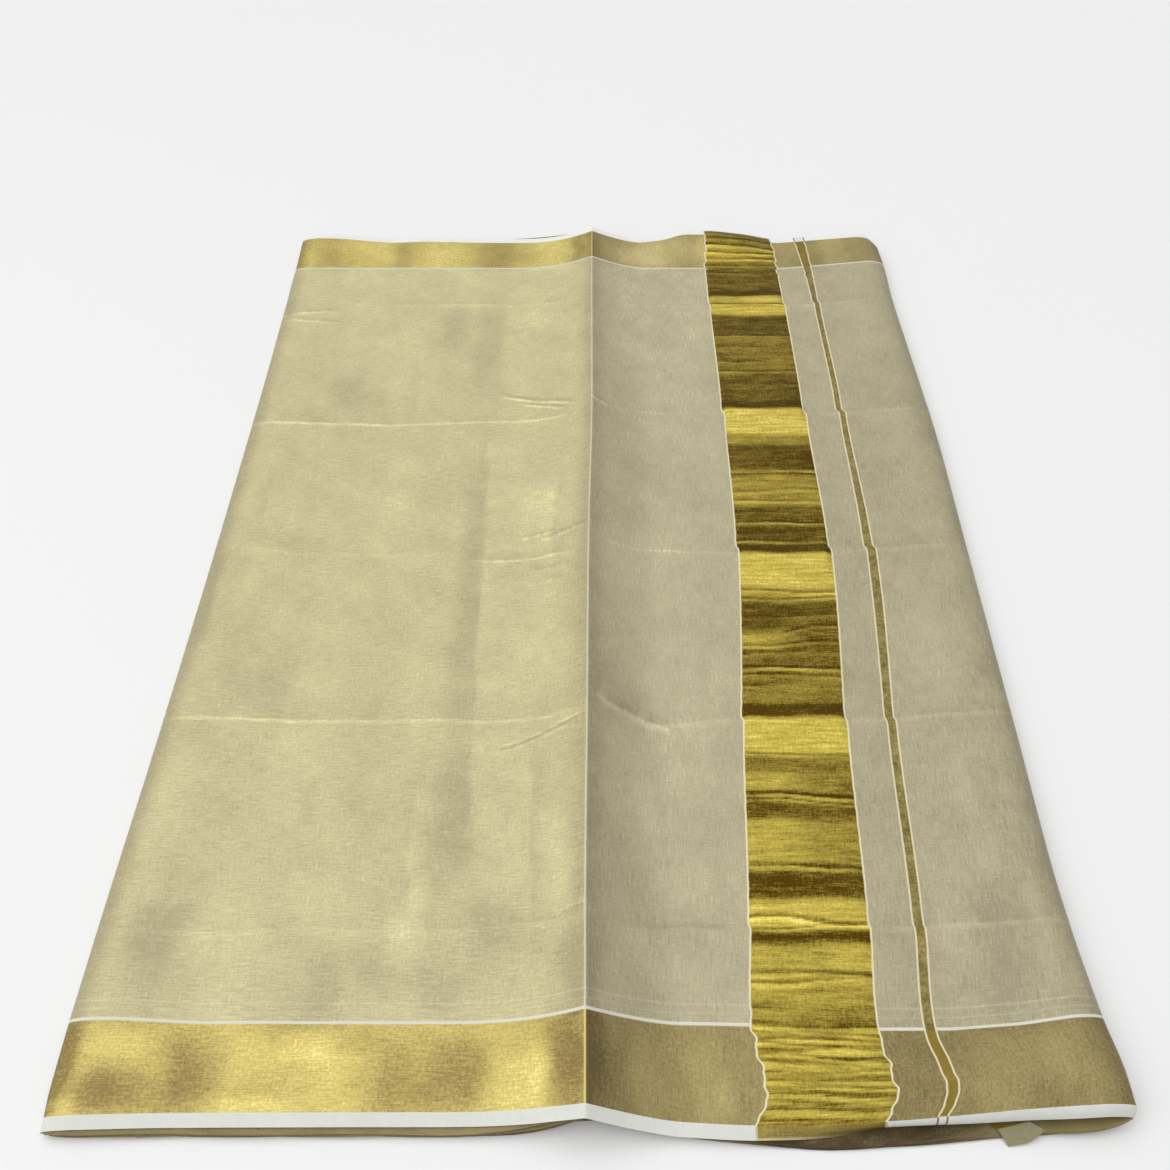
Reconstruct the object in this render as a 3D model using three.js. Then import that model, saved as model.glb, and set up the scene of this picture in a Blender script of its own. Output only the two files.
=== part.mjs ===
// A tissue saree with woven gold borders, folded lengthways into eight plies and laid flat.
// Millimetres. X runs along the cloth's length, Y across its width from the near selvedge to the far
// one, Z up from the surface it lies on.
import * as THREE from "three";

// Driving sizes of the cloth
const clothWidth = 1200;
const selvedgeWidth = 10;
const borderWidth = 76;
const clothWall = 1.2;
const seamGap = 0.3;

// Driving sizes of the folded bundle
const hiddenPlies = 7;
const plyGap = 0.4;
const thinnestStack = 3.4;
const leftRollWidth = 28;
const rightRollWidth = 24;
const rollFloor = 0.4;
const lastTurn = 140;
const footInset = 4;

// The five creases across the bundle, each a low ridge
const crossCreases = [-450, -246, -24, 200, 427];
const creaseShoulder = 16;
const creaseHeight = 1.3;

// The lengthways crease stands up as a tent, steeper and shorter on its right side
const tent = { leftReach: 110, leftPower: 2.6, rightReach: 70, rightPower: 1.5, hiddenRise: 6 };

// A table has one named column for each word, and one row for each line, section or fold
function table(names, rowsOfNumbers) {
  const keys = names.split(" ");
  return rowsOfNumbers.map((row) => Object.fromEntries(keys.map((key, k) => [key, row[k]])));
}

// X of each fold and woven line, at distances across the cloth from its middle
const lines = table("across leftFold crease bandStart bandEnd stripeStart stripeEnd rightFold", [
  [-600, -400, -11.5, 112, 205, 240, 247, 381],
  [-568, -402, -11.4, 120, 216, 250, 260, 382],
  [-524, -401.5, -11.2, 114, 211, 244, 254, 378],
  [-450, -401, -10.9, 120, 218, 252, 262, 376],
  [-246, -398.5, -8.2, 134, 231, 266, 276, 383],
  [-24, -397.5, -5.5, 150, 249, 284, 295, 391],
  [200, -398, -0.2, 154, 252, 289, 298, 398],
  [427, -400.5, 1.5, 155, 255, 291, 300, 397],
  [524, -402, 2.3, 156, 255, 289, 301, 400],
  [568, -402, 2.8, 159, 256, 287, 301, 400],
  [600, -402.5, 3, 159, 252, 285, 300, 390],
]);

// Heights of the top ply: its plane, the tent, the swell by each fold, where the right swell starts,
// and how far above the table the right fold's underside stays
const sections = table("across plane tentRise leftSwell rightSwell swellStart foldFloor", [
  [-600, 9, 24, 1, 17, 130, 13],
  [-524, 9, 29, 8, 17, 265, 8],
  [-400, 9, 28, 7, 14, 268, rollFloor],
  [-246, 9, 27, 6, 12, 270, rollFloor],
  [200, 8.4, 23, 3, 10, 268, rollFloor],
  [524, 7.8, 19, 0, 11, 265, rollFloor],
  [600, 7.8, 19, 0, 9, 265, rollFloor],
]);
const leftSwellReach = 82;
const rightSwellPower = 0.9;

// The near edge: the forward bow of the edge and of the border's line, the selvedge's downward curl
// in degrees, the air under the top ply, and how far out the hidden plies end
const nearEdge = table("x edgeBow lineBow curl slack hiddenEnd", [
  [-401, 3.5, 0, 6, 0, 594],
  [-375, 3, 0, 6, 0, 605],
  [-300, 1, 0, 4, 0, 604],
  [-100, 0.5, 0, 4, 0, 604],
  [-40, 1, 0, 5, 0, 601],
  [-10, 2.5, 0, 5, 0, 598],
  [54, 7, 0.5, 10, 0, 605],
  [113, 9.5, 1.5, 14, 1, 611],
  [160, 9, 3.5, 42, 8, 613],
  [210, 8, 5, 86, 13, 612],
  [266, 5, 5, 70, 14, 610],
  [307, 2.5, 5, 60, 17, 604],
  [347, 1, 2.5, 50, 19, 600],
  [385, 0, 0, 55, 21, 596],
]);

// The far edge: its lift beside the pallu band, and how far out the hidden plies end
const farEdge = table("x lift hiddenEnd", [
  [-400, 0, 576],
  [-385, 0, 584],
  [-350, 0, 594],
  [-60, 0, 606],
  [20, 0, 594],
  [60, 0, 593],
  [99, 4, 593],
  [135, 13, 593],
  [160, 13, 593],
  [212, 8, 593],
  [262, 0, 593],
  [340, 0, 592],
  [380, 0, 578],
]);
const farEdgeBow = 8;

// How the air under the near edge fades across the cloth
const slackFades = table("across share", [[-556, 1], [-524, 0.6], [-466, 0.2], [-434, 0]]);

// The pallu band's puckers: the stretches between creases, their spacing and their height
const puckers = table("from to spacing height", [
  [-590, -524, 7.4, 1.5],
  [-524, -466, 14, 1.1],
  [-434, -262, 24, 1.4],
  [-230, -40, 32, 1.3],
  [-8, 184, 38, 1.1],
  [216, 411, 32, 1.1],
  [443, 524, 16, 1.2],
  [524, 590, 9.4, 1.5],
]);
const closestRows = 1.5;

// The ply that comes back from the right fold under the lifted near corner, from the fold inwards
const underPly = table("x nearTop innerTop nearEnd innerEnd", [
  [370, 13.8, 9.6, 598, 562],
  [356, 10.8, 8.2, 602, 560],
  [340, 8.8, 7.4, 604, 558],
  [322, 7.2, 6.8, 604, 556],
  [306, 6.4, 6.4, 603, 556],
]);
const underPlyRows = 5;
const underEdgeDrop = 3;

// Its selvedge's corner, a strip turned down to the table, by its inner and outer long edges
const turnedCorner = table("innerX innerY innerZ outerX outerY outerZ", [
  [314, -599.5, 9.6, 318, -606.5, 5.2],
  [300, -602, 8.4, 307, -609, 3.4],
  [287, -604, 6.8, 296, -611.5, 1.8],
]);

// The layered edge of the hidden plies
const lipDepth = 3;
const edgeDrop = 2.2;
const unevenLips = [0.6, -0.8, 1, -0.4, 0.9, -1.2, 0.2];

// Finishes
const finish = (color, roughness, metalness) =>
  new THREE.MeshStandardMaterial({ color, roughness, metalness, side: THREE.FrontSide });
const tissueLeft = finish(0xc8be96, 0.5, 0.35);
const tissueRight = finish(0xb2aa91, 0.5, 0.35);
const goldBorder = finish(0xb89c50, 0.42, 0.6);
const zariGold = finish(0xa88618, 0.35, 0.8);
const whiteCotton = finish(0xe1e4dc, 0.9, 0);
const shadedPlies = finish(0x8c7d58, 0.6, 0.3);

const { clamp, lerp, smoothstep, degToRad } = THREE.MathUtils;
const edge = clothWidth / 2;
const goldEdge = edge - selvedgeWidth;
const borderLine = edge - borderWidth;

// Reads one column of a table, between the two rows around a value
function read(rowsOfTable, key, value, column) {
  if (value <= rowsOfTable[0][key]) return rowsOfTable[0][column];
  for (let i = 1; i < rowsOfTable.length; i++) {
    const [low, high] = [rowsOfTable[i - 1], rowsOfTable[i]];
    if (value > high[key]) continue;
    return lerp(low[column], high[column], (value - low[key]) / (high[key] - low[key]));
  }
  return rowsOfTable.at(-1)[column];
}

const lineAt = (name, across) => read(lines, "across", across, name);
const sectionAt = (name, across) => read(sections, "across", across, name);
const nearAt = (name, x) => read(nearEdge, "x", x, name);
const farAt = (name, x) => read(farEdge, "x", x, name);

// The tent's height over the plane
function tentAt(x, across) {
  const away = x - lineAt("crease", across);
  const reach = away < 0 ? tent.leftReach : tent.rightReach;
  const power = away < 0 ? tent.leftPower : tent.rightPower;
  return sectionAt("tentRise", across) * Math.max(0, 1 - Math.abs(away) / reach) ** power;
}

// The tunnel under the tent, where the hidden plies leave the table
const tunnelAt = (x, across) => Math.max(0, tentAt(x, across) - tent.hiddenRise);

function crossCreaseAt(across) {
  const nearest = Math.min(...crossCreases.map((crease) => Math.abs(across - crease)));
  return creaseHeight * Math.max(0, 1 - nearest / creaseShoulder);
}

const farLiftAt = (x, across) => farAt("lift", x) * smoothstep(across, borderLine, goldEdge);

// Height of the top ply's upper face
function topHeight(x, across) {
  const leftEnd = lineAt("leftFold", across) + leftRollWidth + leftSwellReach;
  const leftShare = smoothstep((leftEnd - x) / leftSwellReach, 0, 1);
  const rightStart = sectionAt("swellStart", across);
  const rightSpan = lineAt("rightFold", across) - rightRollWidth - rightStart;
  const rightShare = clamp((x - rightStart) / rightSpan, 0, 1) ** rightSwellPower;
  const swells = sectionAt("leftSwell", across) * leftShare + sectionAt("rightSwell", across) * rightShare;
  const folds = tentAt(x, across) + crossCreaseAt(across);
  return sectionAt("plane", across) + folds + swells + farLiftAt(x, across);
}

// Height of the surface that the hidden plies fill: the top ply's own, less the air between them
function stackHeight(x, across) {
  const air = nearAt("slack", x) * read(slackFades, "across", across, "share") + farLiftAt(x, across);
  const lowest = thinnestStack + clothWall + plyGap + tunnelAt(x, across);
  return Math.min(topHeight(x, across), Math.max(lowest, topHeight(x, across) - air));
}

// Y of a point of the cloth, with the bow of its near and far edges
function depthOf(x, across) {
  const towardEdge = clamp((-borderLine - across) / (goldEdge - borderLine), 0, 1);
  const towardLine = clamp((crossCreases[0] - across) / (crossCreases[0] + borderLine), 0, 1);
  const nearBow = lerp(nearAt("lineBow", x) * towardLine, nearAt("edgeBow", x), towardEdge);
  const lastCrease = crossCreases.at(-1);
  const farBow = farEdgeBow * clamp((across - lastCrease) / (borderLine - lastCrease), 0, 1);
  return across - nearBow - farBow;
}

// Rows of the cloth's grid, across its width
function gridRows() {
  const edgeRows = [edge, goldEdge, (goldEdge + borderLine) / 2, borderLine];
  const creaseRows = crossCreases.flatMap((row) => [row - creaseShoulder, row, row + creaseShoulder]);
  const between = crossCreases.slice(1).map((row, i) => (row + crossCreases[i]) / 2);
  return [...edgeRows.flatMap((row) => [-row, row]), ...creaseRows, ...between].sort((a, b) => a - b);
}

// Columns of the grid: shares of each woven zone, and turns of the two fold rolls in degrees
const zones = [
  { name: "left", from: "leftFold", to: "crease", shares: [0, 0.12, 0.3, 0.52, 0.7, 0.8, 0.89, 0.95, 1] },
  { name: "centre", from: "crease", to: "bandStart", shares: [0.09, 0.22, 0.4, 0.65, 1] },
  { name: "band", from: "bandStart", to: "bandEnd", shares: [0.5, 1] },
  { name: "inner", from: "bandEnd", to: "stripeStart", shares: [1] },
  { name: "stripe", from: "stripeStart", to: "stripeEnd", shares: [1] },
  { name: "right", from: "stripeEnd", to: "rightFold", shares: [0.3, 0.65, 1] },
];
const rollTurns = [25, 55, 85, 112, lastTurn];

function gridColumns() {
  const flat = zones.flatMap(({ name, from, to, shares }) =>
    shares.map((share) => ({ zone: name, from, to, share })));
  const leftRoll = rollTurns.map((turn) => ({ zone: "left", side: -1, turn })).reverse();
  const rightRoll = rollTurns.map((turn) => ({ zone: "right", side: 1, turn }));
  return [...leftRoll, ...flat, ...rightRoll];
}

const rows = gridRows();
const columns = gridColumns();

// A point on the flat of the cloth; the outer zones stop where their roll starts
function flatPoint(column, across, heightAt) {
  const start = lineAt(column.from, across) + (column.from === "leftFold" ? leftRollWidth : 0);
  const end = lineAt(column.to, across) - (column.to === "rightFold" ? rightRollWidth : 0);
  const x = lerp(start, end, column.share);
  return new THREE.Vector3(x, depthOf(x, across), heightAt(x, across));
}

// A point on a fold's roll, half an ellipse from the flat down to the fold's floor
function rollPoint(column, across, heightAt, floor, reachLoss) {
  const left = column.side < 0;
  const width = left ? leftRollWidth : rightRollWidth;
  const start = lineAt(left ? "leftFold" : "rightFold", across) - column.side * width;
  const high = heightAt(start, across);
  const turn = degToRad(column.turn);
  const x = start + column.side * (width - reachLoss) * Math.sin(turn);
  const z = lerp(floor, high, (1 + Math.cos(turn)) / 2);
  return new THREE.Vector3(x, depthOf(x, across), z);
}

function topPoint(column, across) {
  if (column.turn === undefined) return flatPoint(column, across, topHeight);
  const floor = column.side < 0 ? rollFloor : sectionAt("foldFloor", across);
  return rollPoint(column, across, topHeight, floor, 0);
}

// The hidden plies' rolls stay lower and shorter where the right fold is lifted
function stackPoint(column, across) {
  if (column.turn === undefined) return flatPoint(column, across, stackHeight);
  const reachLoss = column.side < 0 ? 0 : 2 * (sectionAt("foldFloor", across) - rollFloor);
  return rollPoint(column, across, stackHeight, rollFloor, reachLoss);
}

// Upper face of the top ply, with its near selvedge curled down past the border
function topGrid() {
  const grid = rows.map((across) => columns.map((column) => topPoint(column, across)));
  grid[0] = grid[1].map((point) => {
    const curl = degToRad(nearAt("curl", point.x));
    return new THREE.Vector3(0, -Math.cos(curl), -Math.sin(curl)).multiplyScalar(selvedgeWidth).add(point);
  });
  return grid;
}

// Outward directions of a grid of points, from the neighbours of each
function gridNormals(grid) {
  return grid.map((row, j) => row.map((_, i) => {
    const along = row[Math.min(i + 1, row.length - 1)].clone().sub(row[Math.max(i - 1, 0)]);
    const before = grid[Math.max(j - 1, 0)][i];
    const across = grid[Math.min(j + 1, grid.length - 1)][i].clone().sub(before);
    return along.cross(across).normalize();
  }));
}

const top = topGrid();
const topNormals = gridNormals(top);

const toward = (from, to, distance) => to.clone().sub(from).setLength(distance).add(from);
const moved = (points, normals, distance) =>
  points.map((row, j) => row.map((point, i) => point.clone().addScaledVector(normals[j][i], distance)));

function indexedGeometry(positions, index) {
  const geometry = new THREE.BufferGeometry();
  geometry.setAttribute("position", new THREE.Float32BufferAttribute(positions, 3));
  geometry.setIndex(index);
  geometry.computeVertexNormals();
  return geometry;
}

// A closed wall between an upper and a lower grid of points
function wall(upper, lower) {
  const rowCount = upper.length;
  const columnCount = upper[0].length;
  const [lastRow, lastColumn] = [rowCount - 1, columnCount - 1];
  const index = [];
  const above = (j, i) => j * columnCount + i;
  const below = (j, i) => (rowCount + j) * columnCount + i;
  const quad = (a, b, c, d) => index.push(a, b, c, a, c, d);
  for (let j = 0; j < lastRow; j++) {
    for (let i = 0; i < lastColumn; i++) {
      const corners = [[j, i], [j, i + 1], [j + 1, i + 1], [j + 1, i]];
      const [a, b, c, d] = corners.map(([row, column]) => above(row, column));
      const [p, q, r, s] = corners.map(([row, column]) => below(row, column));
      quad(a, b, c, d);
      index.push(p, r, q, p, s, r);
    }
    quad(above(j, 0), above(j + 1, 0), below(j + 1, 0), below(j, 0));
    quad(below(j, lastColumn), below(j + 1, lastColumn), above(j + 1, lastColumn), above(j, lastColumn));
  }
  for (let i = 0; i < lastColumn; i++) {
    quad(below(0, i), below(0, i + 1), above(0, i + 1), above(0, i));
    quad(above(lastRow, i), above(lastRow, i + 1), below(lastRow, i + 1), below(lastRow, i));
  }
  return indexedGeometry([...upper, ...lower].flat().flatMap((point) => point.toArray()), index);
}

function namedMesh(name, geometry, material) {
  const mesh = new THREE.Mesh(geometry, material);
  mesh.name = name;
  return mesh;
}

// Draws a patch in by half a seam along each edge where another woven zone meets it
function seamed(patch, meets) {
  const half = seamGap / 2;
  const drawn = patch.map((row) => [...row]);
  const [lastRow, lastColumn] = [patch.length - 1, patch[0].length - 1];
  const pulled = (row, inward) => row.map((point, i) => toward(point, inward[i], half));
  if (meets.near) drawn[0] = pulled(patch[0], patch[1]);
  if (meets.far) drawn[lastRow] = pulled(patch[lastRow], patch[lastRow - 1]);
  for (const row of drawn) {
    if (meets.left) row[0] = toward(row[0], row[1], half);
    if (meets.right) row[lastColumn] = toward(row[lastColumn], row[lastColumn - 1], half);
  }
  return drawn;
}

// First and last column of a zone, with the one it shares with the zone before
function columnRange(zone) {
  const first = columns.findIndex((column) => column.zone === zone);
  return [Math.max(0, first - 1), columns.findLastIndex((column) => column.zone === zone)];
}

// A woven zone of the top ply between two distances across the cloth, as one wall
function wovenPatch(name, [nearRow, farRow], zone, material) {
  const [firstRow, lastRow] = [rows.indexOf(nearRow), rows.indexOf(farRow)];
  const [firstColumn, lastColumn] = columnRange(zone);
  const cut = (grid) =>
    grid.slice(firstRow, lastRow + 1).map((row) => row.slice(firstColumn, lastColumn + 1));
  const meets = {
    near: firstRow > 0,
    far: lastRow < rows.length - 1,
    left: firstColumn > 0,
    right: lastColumn < columns.length - 1,
  };
  const upper = seamed(cut(top), meets);
  return namedMesh(name, wall(upper, moved(upper, cut(topNormals), -clothWall)), material);
}

const wavesOf = (stretch) => Math.round((stretch.to - stretch.from) / stretch.spacing);

// Height of the puckers at a distance across the cloth, with sharp crests
function puckerAt(across) {
  const stretch = puckers.find((row) => across > row.from && across < row.to);
  if (!stretch) return 0;
  const phase = ((across - stretch.from) / (stretch.to - stretch.from)) * wavesOf(stretch);
  return stretch.height * (1 - Math.abs(2 * (phase % 1) - 1));
}

// The grid's rows and those that the puckers' crests and troughs need
function bandRows() {
  const extra = puckers.flatMap((stretch) => {
    const steps = 2 * wavesOf(stretch);
    return Array.from({ length: steps - 1 }, (_, i) => lerp(stretch.from, stretch.to, (i + 1) / steps));
  });
  const apart = extra.filter((row) => rows.every((other) => Math.abs(other - row) > closestRows));
  return [...rows, ...apart].sort((a, b) => a - b);
}

// A point between two rows of a grid
function betweenRows(grid, across, i) {
  const after = Math.max(1, rows.findIndex((row) => row >= across));
  const share = (across - rows[after - 1]) / (rows[after] - rows[after - 1]);
  return grid[after - 1][i].clone().lerp(grid[after][i], share);
}

// The metallic band across the whole cloth, gathered into puckers by its tighter weave
function palluBand() {
  const [first, last] = columnRange("band");
  const along = [first, first + 1, last];
  const across = bandRows();
  const points = across.map((row) => along.map((i) => betweenRows(top, row, i)));
  const flat = seamed(points, { left: true, right: true });
  const normals = across.map((row) => along.map((i) => betweenRows(topNormals, row, i).normalize()));
  const lift = (grid) => grid.map((row, j) =>
    row.map((point, i) => point.clone().addScaledVector(normals[j][i], puckerAt(across[j]))));
  return namedMesh("pallu_band", wall(lift(flat), lift(moved(flat, normals, -clothWall))), zariGold);
}

// One end of the hidden plies: a lip for each ply with a groove between, from the top down
function layeredEnd(upperRow, lowerRow, endOf, outward) {
  const steps = 2 * hiddenPlies;
  return Array.from({ length: steps - 1 }, (_, k) => upperRow.map((upper, i) => {
    const lower = lowerRow[i];
    const drop = Math.min(edgeDrop, (upper.z - lower.z) / 2);
    const share = (k + 1) / steps;
    const reach = endOf(upper.x) + (k % 2 === 0 ? unevenLips[k / 2] : -lipDepth);
    return new THREE.Vector3(
      lerp(upper.x, lower.x, share),
      outward * reach,
      lerp(upper.z - drop, lower.z, share),
    );
  }));
}

// Underside of the hidden plies: flat on the table, raised under the tent, drawn in under the rolls
function underside(upper, across) {
  return upper.map((row, j) => row.map((point, i) => {
    const { side, turn } = columns[i];
    if (turn === undefined) return new THREE.Vector3(point.x, point.y, tunnelAt(point.x, across[j]));
    const rollEnd = side < 0 ? row[0] : row.at(-1);
    const rollStart = side < 0 ? row[rollTurns.length] : row.at(-1 - rollTurns.length);
    const x = lerp(rollStart.x, rollEnd.x - side * footInset, turn / lastTurn);
    return new THREE.Vector3(x, point.y, 0);
  }));
}

// The seven plies under the top one, as one rounded solid with layered near and far edges
function foldedLayers() {
  const across = rows.slice(1, -1);
  const surface = across.map((row) => columns.map((column) => stackPoint(column, row)));
  const upper = moved(surface, gridNormals(surface), -clothWall - plyGap);
  const lower = underside(upper, across);
  const nearEnd = layeredEnd(upper[0], lower[0], (x) => nearAt("hiddenEnd", x), -1);
  const farEnd = layeredEnd(upper.at(-1), lower.at(-1), (x) => farAt("hiddenEnd", x), 1);
  return namedMesh("folded_layers", bundle(upper, farEnd, lower, nearEnd), shadedPlies);
}

// A closed bundle: over the top, down the far end, back underneath and up the near end
function bundle(upper, farEnd, lower, nearEnd) {
  const ring = [...upper, ...farEnd, ...[...lower].reverse(), ...[...nearEnd].reverse()];
  const columnCount = ring[0].length;
  const index = [];
  const at = (j, i) => (j % ring.length) * columnCount + i;
  for (let j = 0; j < ring.length; j++) {
    for (let i = 0; i < columnCount - 1; i++) {
      index.push(at(j, i), at(j, i + 1), at(j + 1, i + 1));
      index.push(at(j, i), at(j + 1, i + 1), at(j + 1, i));
    }
  }
  const counts = { rows: upper.length, far: farEnd.length, near: nearEnd.length };
  closeSide(counts, (j) => at(j, 0), (a, b, c) => index.push(a, c, b));
  closeSide(counts, (j) => at(j, columnCount - 1), (a, b, c) => index.push(a, b, c));
  return indexedGeometry(ring.flat().flatMap((point) => point.toArray()), index);
}

// Closes one side of the bundle: a strip between top and underside, and a fan at each layered end
function closeSide(counts, vertex, face) {
  const last = counts.rows - 1;
  const lowerStart = counts.rows + counts.far;
  const lowerVertex = (j) => vertex(lowerStart + last - j);
  for (let j = 0; j < last; j++) {
    face(lowerVertex(j), lowerVertex(j + 1), vertex(j + 1));
    face(lowerVertex(j), vertex(j + 1), vertex(j));
  }
  for (let k = 0; k < counts.far; k++) {
    face(lowerVertex(last), vertex(counts.rows + k), vertex(last + k));
  }
  const nearStart = lowerStart + counts.rows;
  for (let k = 0; k < counts.near; k++) {
    face(vertex(0), vertex(nearStart + k), vertex(nearStart + k - 1));
  }
}

// The ply that returns from the right fold under the lifted corner
function returningPly() {
  const fromInside = [...underPly].reverse();
  const upper = Array.from({ length: underPlyRows }, (_, j) => {
    const share = j / (underPlyRows - 1);
    return fromInside.map((row) => new THREE.Vector3(
      row.x,
      lerp(-row.nearEnd, -row.innerEnd, share ** 2),
      lerp(row.nearTop, row.innerTop, share) - (j === 0 ? underEdgeDrop : 0),
    ));
  });
  return namedMesh("returning_ply", wall(upper, moved(upper, gridNormals(upper), -clothWall)), shadedPlies);
}

// The corner of its selvedge, hanging out past the near edge
function turnedSelvedge() {
  const strip = [...turnedCorner].reverse();
  const upper = [
    strip.map((row) => new THREE.Vector3(row.outerX, row.outerY, row.outerZ)),
    strip.map((row) => new THREE.Vector3(row.innerX, row.innerY, row.innerZ)),
  ];
  return namedMesh("turned_selvedge", wall(upper, moved(upper, gridNormals(upper), -clothWall)), whiteCotton);
}

const saree = new THREE.Group();
for (const zone of ["left", "centre", "inner", "right"]) {
  const tissue = zone === "left" ? tissueLeft : tissueRight;
  saree.add(
    wovenPatch(`near_selvedge_${zone}`, [-edge, -goldEdge], zone, whiteCotton),
    wovenPatch(`near_border_${zone}`, [-goldEdge, -borderLine], zone, goldBorder),
    wovenPatch(`ground_${zone}`, [-borderLine, borderLine], zone, tissue),
    wovenPatch(`far_border_${zone}`, [borderLine, goldEdge], zone, goldBorder),
    wovenPatch(`far_selvedge_${zone}`, [goldEdge, edge], zone, whiteCotton),
  );
}
saree.add(palluBand());
saree.add(wovenPatch("pallu_stripe", [-edge, edge], "stripe", zariGold));
saree.add(foldedLayers(), returningPly(), turnedSelvedge());

export default saree;
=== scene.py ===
import math
import bmesh
import bpy
import numpy as np
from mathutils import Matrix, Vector


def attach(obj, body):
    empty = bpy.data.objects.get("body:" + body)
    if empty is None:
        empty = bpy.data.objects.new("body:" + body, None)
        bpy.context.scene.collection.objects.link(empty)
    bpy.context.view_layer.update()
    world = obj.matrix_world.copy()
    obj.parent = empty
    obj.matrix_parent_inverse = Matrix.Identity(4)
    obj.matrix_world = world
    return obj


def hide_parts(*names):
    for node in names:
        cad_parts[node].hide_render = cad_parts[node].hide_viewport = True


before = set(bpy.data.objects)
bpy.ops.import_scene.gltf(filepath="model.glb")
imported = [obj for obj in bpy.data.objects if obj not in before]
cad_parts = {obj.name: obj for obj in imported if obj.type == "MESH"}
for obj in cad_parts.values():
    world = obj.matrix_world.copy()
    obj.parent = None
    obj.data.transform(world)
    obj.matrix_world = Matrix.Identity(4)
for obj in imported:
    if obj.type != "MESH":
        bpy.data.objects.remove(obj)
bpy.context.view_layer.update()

# Tissue saree, folded into eight plies and laid flat. Tables are in millimetres, meshes in metres:
# x runs along the cloth, "across" from the near selvedge (-600) to the far one (+600).
mm = 0.001


# Small tools for tables, curves, objects and nodes

def tableOf(names, rows):
    columns = np.array(rows, dtype=float).T
    return dict(zip(names.split(), columns))


def easedCurve(keys, values, wanted):
    # monotone cubic through the table's points, flat beyond its ends
    steps = np.diff(keys)
    slopes = np.diff(values) / steps
    tangents = np.concatenate([slopes[:1], slopes])
    before, after = slopes[:-1], slopes[1:]
    total = np.where(before + after == 0, 1, before + after)
    tangents[1:-1] = np.where(before * after > 0, 2 * before * after / total, 0)
    place = np.clip(np.searchsorted(keys, wanted) - 1, 0, len(steps) - 1)
    width = steps[place]
    t = np.clip((wanted - keys[place]) / width, 0, 1)
    start, end = values[place], values[place + 1]
    rise = (2 * t**3 - 3 * t**2 + 1) * start + (3 * t**2 - 2 * t**3) * end
    lean = (t**3 - 2 * t**2 + t) * tangents[place] + (t**3 - t**2) * tangents[place + 1]
    return rise + width * lean


def smoothStep(value, low, high):
    t = np.clip((value - low) / (high - low), 0, 1)
    return t * t * (3 - 2 * t)


def overColumns(across, count):
    return np.repeat(across[:, None], count, axis=1)


def gridMesh(name, columns, rows, size):
    bm = bmesh.new()
    bmesh.ops.create_grid(bm, x_segments=columns, y_segments=rows, size=size)
    for line in bm.edges:
        line.smooth = not line.is_boundary
    for face in bm.faces:
        face.smooth = True
    mesh = bpy.data.meshes.new(name)
    bm.to_mesh(mesh)
    bm.free()
    return mesh


def addObject(name, data):
    made = bpy.data.objects.new(name, data)
    bpy.context.collection.objects.link(made)
    return made


def addNode(tree, kind, values=None, **settings):
    made = tree.nodes.new(kind)
    for name, value in settings.items():
        setattr(made, name, value)
    for socket, value in (values or {}).items():
        made.inputs[socket].default_value = value
    return made


def mathNode(tree, operation, first, second=None, clamp=False):
    made = addNode(tree, "ShaderNodeMath", operation=operation, use_clamp=clamp)
    for index, value in enumerate((first, second)):
        if value is None:
            continue
        if isinstance(value, (int, float)):
            made.inputs[index].default_value = value
        else:
            tree.links.new(value, made.inputs[index])
    return made.outputs[0]


def mixColors(tree, share, first, second):
    made = addNode(tree, "ShaderNodeMix", data_type="RGBA")
    for socket, value in ((made.inputs[0], share), (made.inputs[6], first), (made.inputs[7], second)):
        if isinstance(value, (int, float)):
            socket.default_value = value
        elif isinstance(value, tuple):
            socket.default_value = (*value, 1)
        else:
            tree.links.new(value, socket)
    return made.outputs[2]


def fadeMask(tree, value, solidAt, goneAt):
    # 1 where value is at solidAt, falling to 0 at goneAt
    made = addNode(tree, "ShaderNodeMapRange", {1: goneAt, 2: solidAt, 3: 0, 4: 1}, clamp=True)
    tree.links.new(value, made.inputs[0])
    return made.outputs[0]


def stretchedNoise(tree, place, stretch, detail, roughness):
    scaled = addNode(tree, "ShaderNodeVectorMath", {1: stretch}, operation="MULTIPLY")
    tree.links.new(place, scaled.inputs[0])
    noise = addNode(tree, "ShaderNodeTexNoise", {"Scale": 1, "Detail": detail, "Roughness": roughness})
    tree.links.new(scaled.outputs[0], noise.inputs["Vector"])
    return noise.outputs["Fac"]


# Camera, light and floor, at the photograph's angle

studio = {
    "cameraPlace": (-0.0164, -0.8858, 0.8833),
    "pitchBelowHorizon": 47.1,
    "lens": 36.03,
    "shiftX": 7 / 1170,
    "nearestSeen": 0.01,
    "farthestSeen": 50,
    "floorSize": 9.0,
    "floorColor": (0.852, 0.852, 0.852),
    "floorRoughness": 0.9,
    "floorGloss": 0.1,
    "skyAxis": (-0.22, 0.02, 1.0),
    "skyHigh": 1.65,
    "skyLow": 0.3,
    "skyOpening": (0.5, 0.86),
    "lampPlace": (-2.3, -1.3, 1.3),
    "lampSize": (1.6, 1.4),
    "lampWatts": 9,
}


def makeCamera():
    camera = bpy.data.cameras.new("photoCamera")
    camera.lens = studio["lens"]
    camera.sensor_width = 36
    camera.shift_x = studio["shiftX"]
    camera.clip_start = studio["nearestSeen"]
    camera.clip_end = studio["farthestSeen"]
    holder = addObject("photoCamera", camera)
    holder.location = studio["cameraPlace"]
    holder.rotation_euler = (math.radians(90 - studio["pitchBelowHorizon"]), 0, 0)
    bpy.context.scene.camera = holder


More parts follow.
